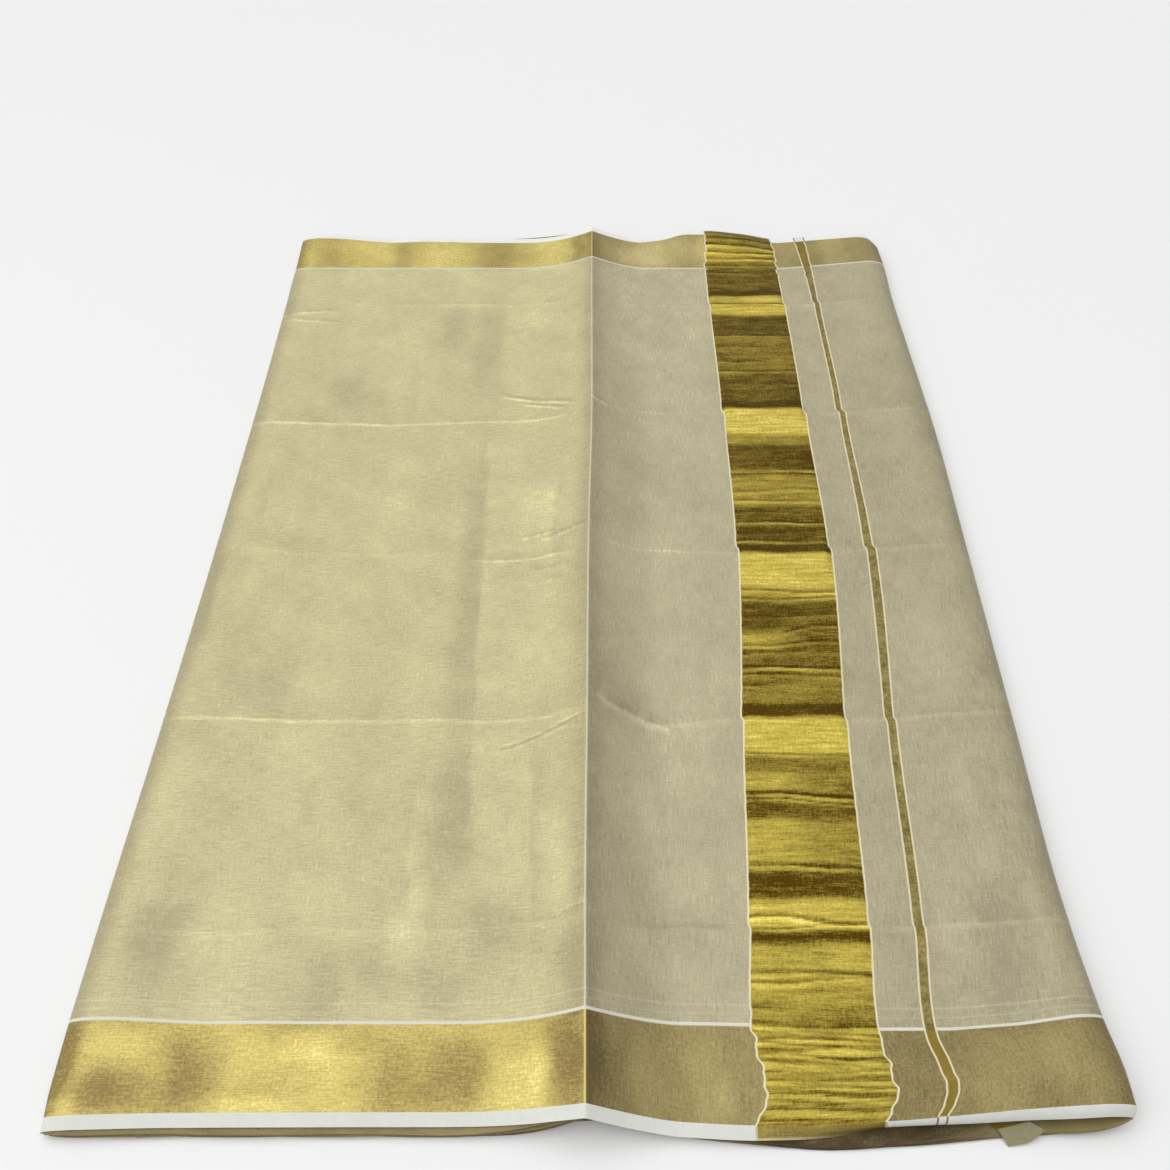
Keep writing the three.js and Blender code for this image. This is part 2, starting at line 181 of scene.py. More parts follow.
def makeLamp():
    # a weak window on the left that faces the cloth's middle
    lamp = bpy.data.lights.new("leftWindow", "AREA")
    lamp.shape = "RECTANGLE"
    lamp.size, lamp.size_y = studio["lampSize"]
    lamp.energy = studio["lampWatts"]
    stand = addObject("leftWindow", lamp)
    x, y, z = studio["lampPlace"]
    stand.location = (x, y, z)
    stand.rotation_euler = (math.atan2(math.hypot(x, y), z), 0, math.atan2(x, -y))


def makeSky():
    # an even dome that is brighter overhead, like the ceiling light of a room
    world = bpy.data.worlds.new("studioWorld")
    world.use_nodes = True
    tree = world.node_tree
    background = tree.nodes["Background"]
    background.inputs["Color"].default_value = (1.0, 1.0, 1.0, 1)
    direction = addNode(tree, "ShaderNodeTexCoord").outputs["Generated"]
    facing = addNode(tree, "ShaderNodeVectorMath", {1: Vector(studio["skyAxis"]).normalized()},
                     operation="DOT_PRODUCT")
    tree.links.new(direction, facing.inputs[0])
    low, high = studio["skyOpening"]
    glow = addNode(tree, "ShaderNodeMapRange", {1: low, 2: high, 3: studio["skyLow"], 4: studio["skyHigh"]},
                   interpolation_type="SMOOTHSTEP")
    tree.links.new(facing.outputs["Value"], glow.inputs[0])
    tree.links.new(glow.outputs[0], background.inputs["Strength"])
    bpy.context.scene.world = world
    bpy.context.scene.view_settings.view_transform = "Standard"


def makeFloor():
    mesh = gridMesh("floor", 4, 4, studio["floorSize"] / 2)
    floor = addObject("floor", mesh)
    paint = bpy.data.materials.new("paleFloor")
    paint.use_nodes = True
    shader = paint.node_tree.nodes["Principled BSDF"]
    shader.inputs["Base Color"].default_value = (*studio["floorColor"], 1)
    shader.inputs["Roughness"].default_value = studio["floorRoughness"]
    shader.inputs["Specular IOR Level"].default_value = studio["floorGloss"]
    mesh.materials.append(paint)


makeCamera()
makeLamp()
makeSky()
makeFloor()
print("studio ready")


# The cloth's folds, the same driving sizes as its solids

edge = 600
goldEdge = 590
borderLine = 524
leftRollWidth = 28
rightRollWidth = 24
rollFloor = 0.4
hiddenPlies = 7
stackTopGap = 1.6
thinnestStack = 3.4
leftRollFloor = 0.1
leftSwellReach = 82
nearBowStart = 450
farBowStart = 427

lines = tableOf("across leftFold crease bandStart bandEnd stripeStart stripeEnd rightFold", [
    (-600, -400, -11.5, 112, 205, 240, 247, 381),
    (-568, -402, -11.4, 120, 216, 250, 260, 382),
    (-524, -401.5, -11.2, 114, 211, 244, 254, 378),
    (-450, -401, -10.9, 120, 218, 252, 262, 376),
    (-246, -398.5, -8.2, 134, 231, 266, 276, 383),
    (-24, -397.5, -5.5, 150, 249, 284, 295, 391),
    (200, -398, -0.2, 154, 252, 289, 298, 398),
    (427, -400.5, 1.5, 155, 255, 291, 300, 397),
    (524, -402, 2.3, 156, 255, 289, 301, 400),
    (568, -402, 2.8, 159, 256, 287, 301, 400),
    (600, -402.5, 3, 159, 252, 285, 300, 390),
])
sections = tableOf("across plane tentRise leftSwell rightSwell swellStart foldFloor", [
    (-600, 9, 24, 1, 17, 130, 13),
    (-524, 9, 29, 8, 17, 265, 8),
    (-400, 9, 28, 7, 14, 268, 0.4),
    (-246, 9, 27, 6, 12, 270, 0.4),
    (200, 8.4, 23, 3, 10, 268, 0.4),
    (524, 7.8, 19, 0, 11, 265, 0.4),
    (600, 7.8, 19, 0, 9, 265, 0.4),
])
nearEdge = tableOf("x edgeBow lineBow curl slack hiddenEnd", [
    (-401, 3.5, 0, 6, 0, 594), (-375, 3, 0, 6, 0, 605), (-300, 1, 0, 4, 0, 604),
    (-100, 0.5, 0, 4, 0, 604), (-40, 1, 0, 5, 0, 601), (-10, 2.5, 0, 5, 0, 598),
    (54, 7, 0.5, 10, 0, 604), (113, 9.5, 1.5, 14, 1, 609.5), (160, 9, 3.5, 42, 8, 612.5),
    (210, 8, 5, 86, 13, 610.5), (266, 5, 5, 70, 14, 606), (307, 2.5, 5, 60, 17, 603),
    (347, 1, 2.5, 50, 19, 600), (385, 0, 0, 55, 21, 596),
])
farEdge = tableOf("x lift hiddenEnd", [
    (-400, 6, 576), (-385, 7.5, 584), (-350, 6.5, 594), (-310, 3, 594.1), (-272, 0.3, 594.2),
    (-236, 1.6, 594.3), (-196, 1.3, 594.4), (-150, 0.2, 594.5), (-60, 0, 600.5), (20, 0, 592),
    (60, 0, 593), (99, 4, 593), (135, 13, 593), (160, 13, 593), (212, 8, 593), (262, 0, 593), (340, 0, 592),
    (380, 0, 578),
])
farEdgeBow = 8
slackFades = tableOf("across share", [(-556, 1), (-524, 0.6), (-466, 0.2), (-434, 0)])
tent = {"leftReach": 110, "leftPower": 2.6, "rightReach": 70, "rightPower": 1.5, "hiddenRise": 6,
        "roundTop": 2.4}


def lineAt(name, across):
    return easedCurve(lines["across"], lines[name], across)


def sectionAt(name, across):
    return np.interp(across, sections["across"], sections[name])


def nearAt(name, x):
    return easedCurve(nearEdge["x"], nearEdge[name], x)


def farAt(name, x):
    return easedCurve(farEdge["x"], farEdge[name], x)


# Creases pressed into the ground, as soft ridges (or troughs, below zero). The near width lies on the
# near or left side of the line, the far width on its far or right side.
creases = tableOf("x0 a0 x1 a1 height near far wander", [
    # across the bundle, left of the lengthways crease
    (-410, 186, -215, 183, 0.62, 4.5, 26, 0.8), (-250, 183, -12, 192, 0.5, 4, 24, 0.8),
    (-410, -243, -170, -243, 0.5, 4, 30, 0.7), (-200, -243, -6, -244, 0.4, 4, 26, 0.9),
    (-405, -24, -120, -30, 0.22, 7, 26, 1.5), (-130, -38, -18, -38, 0.42, 3.5, 12, 0.6),
    (-405, -452, -150, -449, 0.28, 9, 28, 1.6), (-170, -450, -10, -447, 0.24, 8, 24, 1.2),
    (-300, 428, -4, 431, 0.3, 8, 18, 1.2), (-410, 404, -325, 418, 0.5, 5, 9, 0.6),
    (-392, 395, -318, 388, 0.42, 5, 10, 0.6), (-118, 350, -12, 410, 0.5, 12, 18, 2),
    # short ones by the lengthways crease
    (-114, 239, -16, 209, 0.6, 4, 8, 0.8), (-84, 222, -30, 203, 0.5, 4, 8, 0.6),
    (-76, -9, -40, -2, 0.5, 3.5, 6, 0.4), (-56, -15, -10, -2, 0.55, 3.5, 7, 0.5),
    (-72, -56, -24, -54, 0.5, 3.5, 6, 0.4), (-66, -76, -32, -73, 0.35, 3.5, 6, 0.4),
    (-92, -277, -8, -250, -0.75, 3, 3.5, 0.8), (-96, -281, -14, -256, 0.45, 5, 4, 0.8),
    (-38, -447, -10, -438, -0.5, 3, 4, 0.3),
    # lengthways, where an inner fold presses through
    (-120, 170, -115, -20, -0.9, 34, 60, 0.5), (-115, 10, -114, -200, -0.95, 32, 60, 0.6),
    (-115, -160, -108, -380, -0.8, 34, 50, 0.8),
    (-150, -270, -162, -470, -0.5, 26, 20, 3), (-276, -120, -300, -330, -0.35, 30, 26, 3),
    (-352, 120, -356, -120, -0.35, 30, 22, 3), (-214, 330, -206, 160, -0.3, 26, 30, 2),
    (-60, -270, -52, -470, 0.5, 26, 20, 2), (-40, 100, -44, -60, 0.35, 18, 14, 2),
    # right of the lengthways crease
    (-6, -226, 76, -258, 0.6, 8, 14, 1), (34, -250, 150, -240, 0.5, 9, 18, 1),
    (22, -450, 112, -449, 0.42, 20, 6, 1), (-2, -22, 165, -26, 0.3, 5, 18, 1),
    (2, 204, 165, 208, 0.24, 5, 20, 1), (6, 429, 165, 428, 0.16, 5, 18, 1),
    (-3, 212, 22, 200, 0.5, 4, 8, 0.4),
    (50, -300, 54, -430, 0.4, 22, 26, 2), (92, -60, 96, -220, 0.3, 24, 20, 2),
    # right of the band
    (222, -242, 400, -240, 0.42, 5, 18, 1), (212, -448, 395, -446, 0.42, 5, 18, 1),
    (240, -24, 405, -22, 0.34, 6, 18, 1), (245, 204, 410, 203, 0.34, 6, 18, 1),
    (248, 429, 410, 428, 0.34, 6, 18, 1), (322, -260, 336, -420, 0.35, 24, 24, 2),
])

# Soft hollows and swells of the borders and ground, from the air between the plies
dimples = tableOf("x a height wide deep", [
    (-353, -565, -0.7, 26, 20), (-294, -563, -0.75, 24, 30), (-140, -560, -0.8, 26, 30),
    (-214, -550, 0.45, 30, 24), (-70, -562, -0.6, 24, 26), (-250, -540, 0.4, 22, 18),
    (-180, -575, 0.5, 20, 12), (-384, -580, 0.4, 14, 14), (-36, -560, 0.5, 12, 30),
    (40, -560, 0.55, 24, 26), (84, -552, -0.5, 20, 24), (290, -560, 0.5, 26, 26),
    (345, -562, 0.3, 18, 26), (-340, -475, -0.9, 24, 30), (-160, -470, -0.6, 34, 26),
    (-75, -480, -0.6, 26, 22), (-220, -500, -0.5, 22, 30), (-290, -420, 0.6, 30, 24),
    (-240, -300, 0.5, 40, 40), (-330, 60, 0.4, 30, 60), (-260, 250, -0.45, 28, 40),
    (-170, 370, -0.45, 26, 34), (-200, 40, 0.4, 36, 60), (-330, -150, -0.4, 26, 60),
    (-300, 560, -0.5, 30, 24), (-200, 560, 0.5, 34, 24), (-90, 562, -0.5, 30, 22),
    (60, -120, 0.5, 30, 40), (60, 330, 0.45, 30, 50), (80, 100, -0.45, 26, 44),
    (330, -150, 0.5, 26, 60), (330, 100, -0.4, 28, 60), (340, 340, 0.4, 26, 60),
    (60, 562, 0.5, 26, 22), (350, 560, -0.4, 20, 22),
])


# Where the thin tissue lies darker (below zero) or brighter over the ply beneath it: partly the ply showing
# through, partly painted shade and painted sheen, on the borders too
patches = tableOf("x a wide deep shade", [
    # ground, left of the lengthways crease
    (-133, -350, 24, 56, -0.5), (-355, -453, 22, 24, -0.6), (-213, -495, 14, 26, -0.5),
    (-77, -445, 27, 28, -0.6), (-124, -494, 17, 26, -0.45), (-254, -336, 9, 26, -0.3),
    (-18, -494, 13, 32, -0.6), (-294, 245, 18, 36, -0.5), (-172, 385, 20, 44, -0.4),
    (-128, 330, 18, 90, -0.4), (-347, 60, 15, 80, -0.35), (-390, -100, 10, 60, -0.5),
    (-128, -60, 12, 150, -0.35), (-310, -200, 24, 20, -0.2), (-55, 40, 30, 40, 0.3),
    (-55, -170, 28, 50, 0.25), (-36, -390, 14, 50, 0.5), (-156, -455, 12, 30, 0.4),
    (-242, -420, 30, 24, 0.25), (-250, -260, 60, 22, 0.2), (-240, 330, 34, 50, 0.2),
    (-356, 400, 30, 12, 0.3), (-70, 400, 40, 30, 0.2), (-370, -330, 22, 40, 0.2),
    # left borders
    (-352, -572, 26, 14, -0.6), (-300, -560, 24, 26, -0.5), (-110, -560, 26, 26, -0.6),
    (-28, -560, 14, 34, -0.6), (-395, -560, 8, 30, -0.5), (-190, -578, 10, 10, -0.3),
    (-388, -584, 12, 8, 0.7), (-252, -586, 34, 8, 0.6), (-224, -545, 22, 12, 0.5),
    (-184, -560, 24, 16, 0.45), (-62, -572, 24, 22, 0.55), (-358, -542, 20, 10, 0.4),
    (-362, 558, 20, 40, -0.5), (-255, 558, 12, 40, -0.5), (-128, 558, 26, 40, -0.55),
    (-18, 558, 8, 40, -0.6), (-300, 558, 26, 40, 0.35), (-198, 558, 28, 40, 0.35),
    (-56, 558, 24, 40, 0.4),
    # right of the crease
    (12, -568, 14, 34, -0.4), (80, -564, 15, 28, 0.6), (258, -560, 16, 30, -0.3), (222, -558, 22, 36, -0.4),
    (318, -552, 26, 20, 0.3), (360, -575, 10, 20, 0.2), (23, -222, 18, 40, -0.3),
    (119, 82, 20, 50, -0.25), (50, -430, 26, 36, -0.3), (48, -41, 26, 40, 0.25),
    (97, -222, 24, 40, 0.2), (80, -404, 20, 26, 0.3), (318, -460, 24, 50, -0.3),
    (336, -149, 24, 50, 0.2), (290, -426, 14, 30, 0.25), (385, 187, 14, 60, -0.3),
    (80, -286, 26, 46, 0.45), (84, 560, 22, 40, 0.6), (30, 560, 14, 40, -0.2),
    (136, 560, 14, 40, -0.3), (334, 558, 18, 40, 0.6),
])


# Painted light: the slow change of brightness from the near to the far side, left and right of the crease
# and right of the band
drifts = tableOf("across left centre right", [
    (-600, 0, 0, 0), (-530, 0, 0, 0), (-522, -0.12, 0.1, -0.3), (-300, -0.1, 0.1, -0.2),
    (0, 0.05, 0.3, -0.12), (300, 0.15, 0.45, 0.05), (524, 0.3, 0.6, 0.2), (532, 0.3, 0.75, 0.5),
    (600, 0.3, 0.75, 0.5),
])


def driftAt(x, across):
    left, centre, right = (np.interp(across, drifts["across"], drifts[key])
                           for key in ("left", "centre", "right"))
    beyond = smoothStep(x, 150, 250)
    return np.where(x < lineAt("crease", across), left, centre + (right - centre) * beyond)


def patchShades(x, across):
    total = np.zeros_like(x)
    for place, away, wide, deep, shade in zip(*patches.values()):
        sway = 3.5 * np.sin(across / 19 + place) + 1.6 * np.sin(across / 6.3 + away)
        out = (np.abs(x - place + sway) / wide) ** 4 + (np.abs(across - away + 0.6 * sway) / deep) ** 4
        total += shade * np.exp(-out)
    return total


def creaseHeights(x, across):
    total = np.zeros_like(x)
    for i, (x0, a0, x1, a1, height, near, far, wander) in enumerate(zip(*creases.values())):
        span = math.hypot(x1 - x0, a1 - a0)
        wayX, wayA = (x1 - x0) / span, (a1 - a0) / span
        along = ((x - x0) * wayX + (across - a0) * wayA) / span
        aside = wayX * (across - a0) - wayA * (x - x0)
        aside = aside + wander * (np.sin(along * 7.3 + i) + 0.5 * np.sin(along * 17.1 + 2 * i))
        share = np.where(aside < 0, 1 + aside / near, 1 - aside / far)
        ends = smoothStep(along, -0.02, 0.2) * smoothStep(1 - along, -0.02, 0.2)
        uneven = 0.8 + 0.2 * np.sin(along * 29 + i) * np.sin(along * 12.7 + 2 * i)
        total += height * uneven * np.clip(share, 0, 1) ** 1.6 * ends
    return total


def dimpleHeights(x, across):
    total = np.zeros_like(x)
    for place, away, height, wide, deep in zip(*dimples.values()):
        total += height * np.exp(-(((x - place) / wide) ** 2) - ((across - away) / deep) ** 2)
    return total


def slowWaves(x, across):
    # long shallow waves that run across the cloth, uneven in spacing
    drift = 10 * np.sin(across / 210 + 1.1) + 6 * np.sin(across / 95)
    waves = 0.12 * np.sin((x + drift) / 13.5) * np.sin(x / 71 + across / 130)
    waves += 0.14 * np.sin((x - 0.6 * drift) / 21.3 + 0.7) * np.cos(x / 103 - across / 160)
    waves += 0.12 * np.sin(across / 11.7 + x / 64) * np.sin(x / 39 + across / 145)
    return waves


# The pallu band: broad facets that lean to the near or far side, then pinched ripples; their lean also
# paints highlight and shade into the band's colour
facets = tableOf("start end leanLeft leanRight", [
    (-526, -508, 0.2, 0.0), (-508, -486, 0.6, 0.4), (-484, -462, 0.6, 0.75), (-459, -451, -0.7, -0.7),
    (-449, -424, 1, 0.9), (-422, -398, -0.5, -0.5), (-392, -350, 0.7, 0.25), (-347, -331, -0.45, -0.3),
    (-318, -300, 0.6, 0.1), (-300, -281, 0, 0), (-279, -240, 1.15, 1.15), (-239, -224, -0.75, -0.75),
    (-224, -190, 0, 0.05), (-190, -158, -0.2, -0.2), (-156, -138, 0.55, -0.35), (-134, -98, -0.45, -0.3),
    (-90, -75, 0.55, 0.6), (-75, -28, 1.2, 1.15), (-26, -15, -0.9, -0.9), (-10, 14, -0.5, -0.5),
    (20, 44, -0.35, -0.3), (46, 92, 0.4, 0.3), (104, 148, -0.4, -0.5), (150, 166, 0.4, 0.3),
    (167, 211, 1.35, 1.3),
    (213, 226, -0.9, -0.9), (226, 280, -0.35, -0.35), (286, 350, -0.1, 0), (360, 405, -0.4, -0.4),
    (409, 429, 1.1, 1.2), (433, 449, 0.9, 1.2), (451, 466, -0.8, -0.8), (466, 524, -0.25, -0.25),
])
ripples = tableOf("left right height width", [
    (-587, -590, 0.35, 2.4), (-576.5, -577.5, 0.45, 2.4), (-567, -567.5, 0.5, 2.4),
    (-557.5, -556, 0.45, 2.4), (-546, -547.5, 0.5, 2.4), (-538, -539.5, 0.45, 2.4), (-530, -531, 0.45, 2.2),
    (-591, -592, 0.5, 4), (-580.5, -584, 0.85, 5), (-571.5, -573, 0.7, 4), (-562, -563, 0.9, 5),
    (-551, -550.5, 1, 5.5), (-542.5, -541.5, 0.75, 4.5), (-535, -534.5, 0.7, 4), (-526, -525.5, 0.8, 4),
    (-512, -514, 0.2, 5), (-493, -490, 0.5, 4), (-485.5, -486, 0.75, 4), (-472, -474, 0.2, 5),
    (-440, -445.5, 0.95, 4.5), (-449, -447, 0.5, 2.5), (-392, -396.5, 0.8, 4.5), (-412, -410, 0.2, 5),
    (-368, -372, 0.2, 6), (-322.5, -328, 1, 4.5), (-328, -333, 0.5, 3), (-280, -283, 0.4, 3.5),
    (-203, -205, 0.25, 5), (-182.5, -183, 0.9, 4), (-190, -193, 0.4, 4), (-164, -162, 0.25, 5),
    (-154.5, -150, 0.5, 4), (-143, -129, 0.5, 4.5), (-118, -114, 0.3, 5), (-92.5, -91, 0.6, 3.5),
    (-80, -84, 0.6, 4), (-11, -12.5, 0.5, 4), (2, 4, 0.15, 5), (18, 17, 0.6, 3.5), (35, 33, 0.2, 4),
    (53, 51, 0.5, 4.5), (67, 70, 0.4, 5), (81, 80, 0.2, 5), (98, 97.5, -0.6, 4), (117, 119, 0.15, 6),
    (240, 244, 0.15, 7), (262, 258, 0.15, 7), (284.5, 285, 0.45, 4), (304, 308, 0.3, 6),
    (318, 321, 0.15, 6), (336, 333, 0.25, 7), (358, 359, 0.4, 4), (372, 370, 0.15, 5),
    (388, 391, 0.15, 6), (431, 430, 0.7, 3.5), (468, 467, 0.25, 4.5), (482, 484, 0.25, 5),
    (497, 496, 0.2, 5), (512, 510, 0.3, 4), (530, 529, 0.3, 4), (543.5, 544, 0.6, 5),
    (554.5, 556, 0.95, 5), (569, 568, 1, 5.5), (582, 583, 0.6, 5), (591.5, 592, 0.8, 4),
])
borderSheen = tableOf("across lean gain", [
    (-610, 0, 1), (-593, 0, 1), (-588, 0.35, 3), (-530, 0.5, 3), (-522, 0, 3.4), (524, 0, 3.4),
    (534, -0.1, 4), (541, 0.3, 4.6), (564, 0.4, 4.6), (574, 0.1, 3.6), (584, -0.2, 2), (610, -0.2, 2),
])


bandLook = {"facetSlope": 0.1, "slowReach": 85, "facetBlur": 11, "edgeFade": 7, "hemFade": 9,
            "hemHeight": 0.25, "slopeStep": 0.4, "fineLines": 0.22, "darkest": -0.7, "brightest": 1.6}


def bandSlopes():
    # heights of the facets every millimetre across, for the band's left and right edges
    places = np.arange(-610, 611, 1.0)
    blur = np.hanning(bandLook["facetBlur"])
    slowBlur = np.hanning(bandLook["slowReach"] * 2 + 1)
    made, leans = [], []
    for side in ("leanLeft", "leanRight"):
        lean = np.zeros_like(places)
        for start, end, value in zip(facets["start"], facets["end"], facets[side]):
            lean = np.where((places >= start) & (places < end), value, lean)
        lean = np.convolve(lean, blur / blur.sum(), "same")
        leans.append(lean)
        slow = np.convolve(np.pad(lean, bandLook["slowReach"], "edge"), slowBlur, "valid")
        lean = (lean - slow / slowBlur.sum()) * bandLook["facetSlope"]
        made.append(np.cumsum(lean) - np.cumsum(lean).min() - 1.0)
    return places, *made, *leans


facetPlaces, facetLeft, facetRight, leanLeft, leanRight = bandSlopes()


def bandShare(x, across):
    start, end = lineAt("bandStart", across), lineAt("bandEnd", across)
    share = np.clip((x - start) / (end - start), 0, 1)
    return share, smoothStep(share, 0.25, 0.75), np.minimum(x - start, end - x)


def facetValue(share, swing, across, left, right):
    # a value of the facets between the band's two edges, swayed a little along the threads
    swayed = across + 1.3 * np.sin(share * 5.1 + across / 37) * np.sin(math.pi * share)
    value = np.interp(swayed, facetPlaces, left) * (1 - swing)
    value += np.interp(swayed, facetPlaces, right) * swing
    return value


def rippleHeights(share, swing, across):
    height = np.zeros_like(share)
    for left, right, rise, width in zip(*ripples.values()):
        crest = left + (right - left) * swing + 0.8 * np.sin(share * 6 + left)
        strength = 0.75 + 0.25 * np.sin(share * 4.4 + right)
        height += rise * strength * np.clip(1 - np.abs(across - crest) / width, 0, 1) ** 1.3
    return height


def bandHeights(x, across):
    share, swing, inside = bandShare(x, across)
    height = facetValue(share, swing, across, facetLeft, facetRight)
    height += rippleHeights(share, swing, across)
    ends = smoothStep(edge - np.abs(across), 0, bandLook["hemFade"])
    flatter = bandLook["hemHeight"] + (1 - bandLook["hemHeight"]) * ends
    return height * smoothStep(inside, 0, bandLook["edgeFade"]) * flatter


def bandLean(x, across):
    # painted highlight and shade on the band: brighter where the facets, the pinched ripples and finer
    # thread lines lean toward the viewer
    share, swing, _ = bandShare(x, across)
    sheen, gain = (np.interp(across, borderSheen["across"], borderSheen[key]) for key in ("lean", "gain"))
    lean = facetValue(share, swing, across, leanLeft, leanRight) + sheen
    step = bandLook["slopeStep"]
    rise = rippleHeights(share, swing, across + step) - rippleHeights(share, swing, across - step)
    fine = np.sin(across / 0.93 + 1.4 * np.sin(share * 4 + across / 9)) * np.sin(across / 5.3 + share * 3)
    lean += gain * rise / (2 * step) + bandLook["fineLines"] * fine * (0.3 + np.clip(lean, 0, 1))
    return np.clip(lean, bandLook["darkest"], bandLook["brightest"])


# What paints highlight (above zero) or shade into the tissue's colour, and how much of each
toneShares = {"slopeStep": 0.8, "leanNear": 5, "leanLeft": 8, "hollow": 0.35, "leftOfCrease": (0.45, 0.3),
              "creaseShadow": 0.35, "creaseShade": 0.65, "leftFold": 0.9, "rightFold": 0.6,
              "beyondBand": 0.2, "darkest": -1, "brightest": 1.4}


def reliefHeight(x, across):
    return creaseHeights(x, across) + dimpleHeights(x, across) + slowWaves(x, across)


def reliefLean(x, across):
    # painted light and shade in the tissue's colour: painted highlight where it leans to the near left,
    # painted shade in its hollows, beside the crease and at its folded edges
    shares, step = toneShares, toneShares["slopeStep"]
    nearer = (reliefHeight(x, across + step) - reliefHeight(x, across - step)) / (2 * step)
    lefter = (reliefHeight(x + step, across) - reliefHeight(x - step, across)) / (2 * step)
    lean = shares["leanNear"] * nearer + shares["leanLeft"] * lefter
    lean = lean + shares["hollow"] * dimpleHeights(x, across)
    lean += patchShades(x, across) + driftAt(x, across)
    away = x - lineAt("crease", across)
    nearShare, farMore = shares["leftOfCrease"]
    leftOf = (nearShare + farMore * smoothStep(across, -300, 0)) * np.exp(-((away / 12) ** 2))
    rightOf = shares["creaseShadow"] * np.exp(-((away / 4) ** 2))
    rightOf = rightOf + shares["creaseShade"] * np.exp(-((away / 14) ** 4))
    lean = lean - np.where(away < 0, leftOf, rightOf)
    lean = lean - shares["leftFold"] * smoothStep(lineAt("leftFold", across) + 22 - x, 0, 20)
    rightEdge = smoothStep(x - lineAt("rightFold", across) + 14, 0, 14) * smoothStep(across, -560, -510)
    lean = lean - shares["rightFold"] * rightEdge - shares["beyondBand"] * smoothStep(x, 230, 330)
    return np.clip(lean, shares["darkest"], shares["brightest"])


def tentAt(x, across):
    away = x - lineAt("crease", across)
    reach = np.where(away < 0, tent["leftReach"], tent["rightReach"])
    power = np.where(away < 0, tent["leftPower"], tent["rightPower"])
    near = tent["roundTop"]
    rounded = np.where(np.abs(away) < near, (away**2 / near + near) / 2, np.abs(away))
    return sectionAt("tentRise", across) * np.clip(1 - rounded / reach, 0, 1) ** power


def tunnelAt(x, across):
    return np.clip(tentAt(x, across) - tent["hiddenRise"], 0, None)


def farLiftAt(x, across):
    return farAt("lift", x) * smoothStep(across, borderLine, goldEdge)


def planeHeight(x, across):
    leftEnd = lineAt("leftFold", across) + leftRollWidth + leftSwellReach
    swells = sectionAt("leftSwell", across) * smoothStep(leftEnd - x, 0, leftSwellReach)
    start = sectionAt("swellStart", across)
    span = lineAt("rightFold", across) - rightRollWidth - start
    share = np.clip((x - start) / span, 0, 1)
    swells += sectionAt("rightSwell", across) * share ** 0.9 * 1.1 * share / (share + 0.1)
    return sectionAt("plane", across) + tentAt(x, across) + swells + farLiftAt(x, across)


def topHeight(x, across):
    start, end = lineAt("bandStart", across), lineAt("bandEnd", across)
    outside = smoothStep(np.maximum(start - x, x - end), -2, 10)
    calm = smoothStep(edge - np.abs(across), 0, 26)
    relief = reliefHeight(x, across)
    return planeHeight(x, across) + bandHeights(x, across) + relief * outside * (0.15 + 0.85 * calm)


def stackHeight(x, across):
    air = nearAt("slack", x) * np.interp(across, slackFades["across"], slackFades["share"])
    air = air + farLiftAt(x, across)
    lowest = thinnestStack + stackTopGap + tunnelAt(x, across)
    plane = planeHeight(x, across)
    return np.minimum(plane, np.maximum(lowest, plane - air))


def depthOf(x, across):
    towardEdge = np.clip((-borderLine - across) / (goldEdge - borderLine), 0, 1)
    towardLine = np.clip((-nearBowStart - across) / (borderLine - nearBowStart), 0, 1)
    towardFar = np.clip((across - farBowStart) / (borderLine - farBowStart), 0, 1)
    bow = nearAt("lineBow", x) * towardLine * (1 - towardEdge) + nearAt("edgeBow", x) * towardEdge
    return across - bow - farEdgeBow * towardFar


# The woven zones of the top ply

rowSpacing = {"border": 1.4, "crease": 1.7, "ground": 4.2, "band": 1.5, "stripe": 2.6}
creasedGround = [(-470, -430), (-292, -226), (-46, 36), (174, 252), (384, 442)]


def rowsBetween(low, high, spacing):
    count = max(2, int(round((high - low) / spacing)))
    return np.linspace(low, high, count + 1)


def groundRows():
    stops, rows = -borderLine, []
    for low, high in creasedGround:
        rows.append(rowsBetween(stops, low, rowSpacing["ground"])[:-1])
        rows.append(rowsBetween(low, high, rowSpacing["crease"])[:-1])
        stops = high
    return np.concatenate([*rows, rowsBetween(stops, borderLine, rowSpacing["ground"])])


strips = {
    "near_selvedge": np.linspace(-edge, -goldEdge, 8),
    "near_border": rowsBetween(-goldEdge, -borderLine, rowSpacing["border"]),
    "ground": groundRows(),
    "far_border": rowsBetween(borderLine, goldEdge, rowSpacing["border"]),
    "far_selvedge": np.linspace(goldEdge, edge, 6),
}

# The band's edges are pulled in and out where it is gathered, most of all in the borders, and the
# band and the stripe step sideways where the cross creases pass and at their near end
pulls = {"inGround": 0.12, "ofStripe": 0.35, "stripeAlong": 31, "endAlong": 15.3, "endFade": 6,
         "nearStep": 6, "kinkEase": 1.5}
kinks = tableOf("across shift reach", [
    (432, 1.5, 20), (206, 2.6, 24), (-20, 2.0, 24), (-242, 1.7, 24), (-447, 1.2, 20),
])


def jagOf(across):
    inBorder = smoothStep(np.abs(across), 512, 530)
    jag = 1.1 * np.sin(across / 1.9) * np.sin(across / 6.1 + 1) + 0.9 * np.sin(across / 3.3 + 0.5)
    return jag * (pulls["inGround"] + (1 - pulls["inGround"]) * inBorder)


def kinkAt(across):
    total = np.zeros_like(across)
    for place, shift, reach in zip(*kinks.values()):
        beyond = place - across
        total += shift * beyond / (np.abs(beyond) + pulls["kinkEase"]) * np.exp(-np.abs(beyond) / reach)
    return total


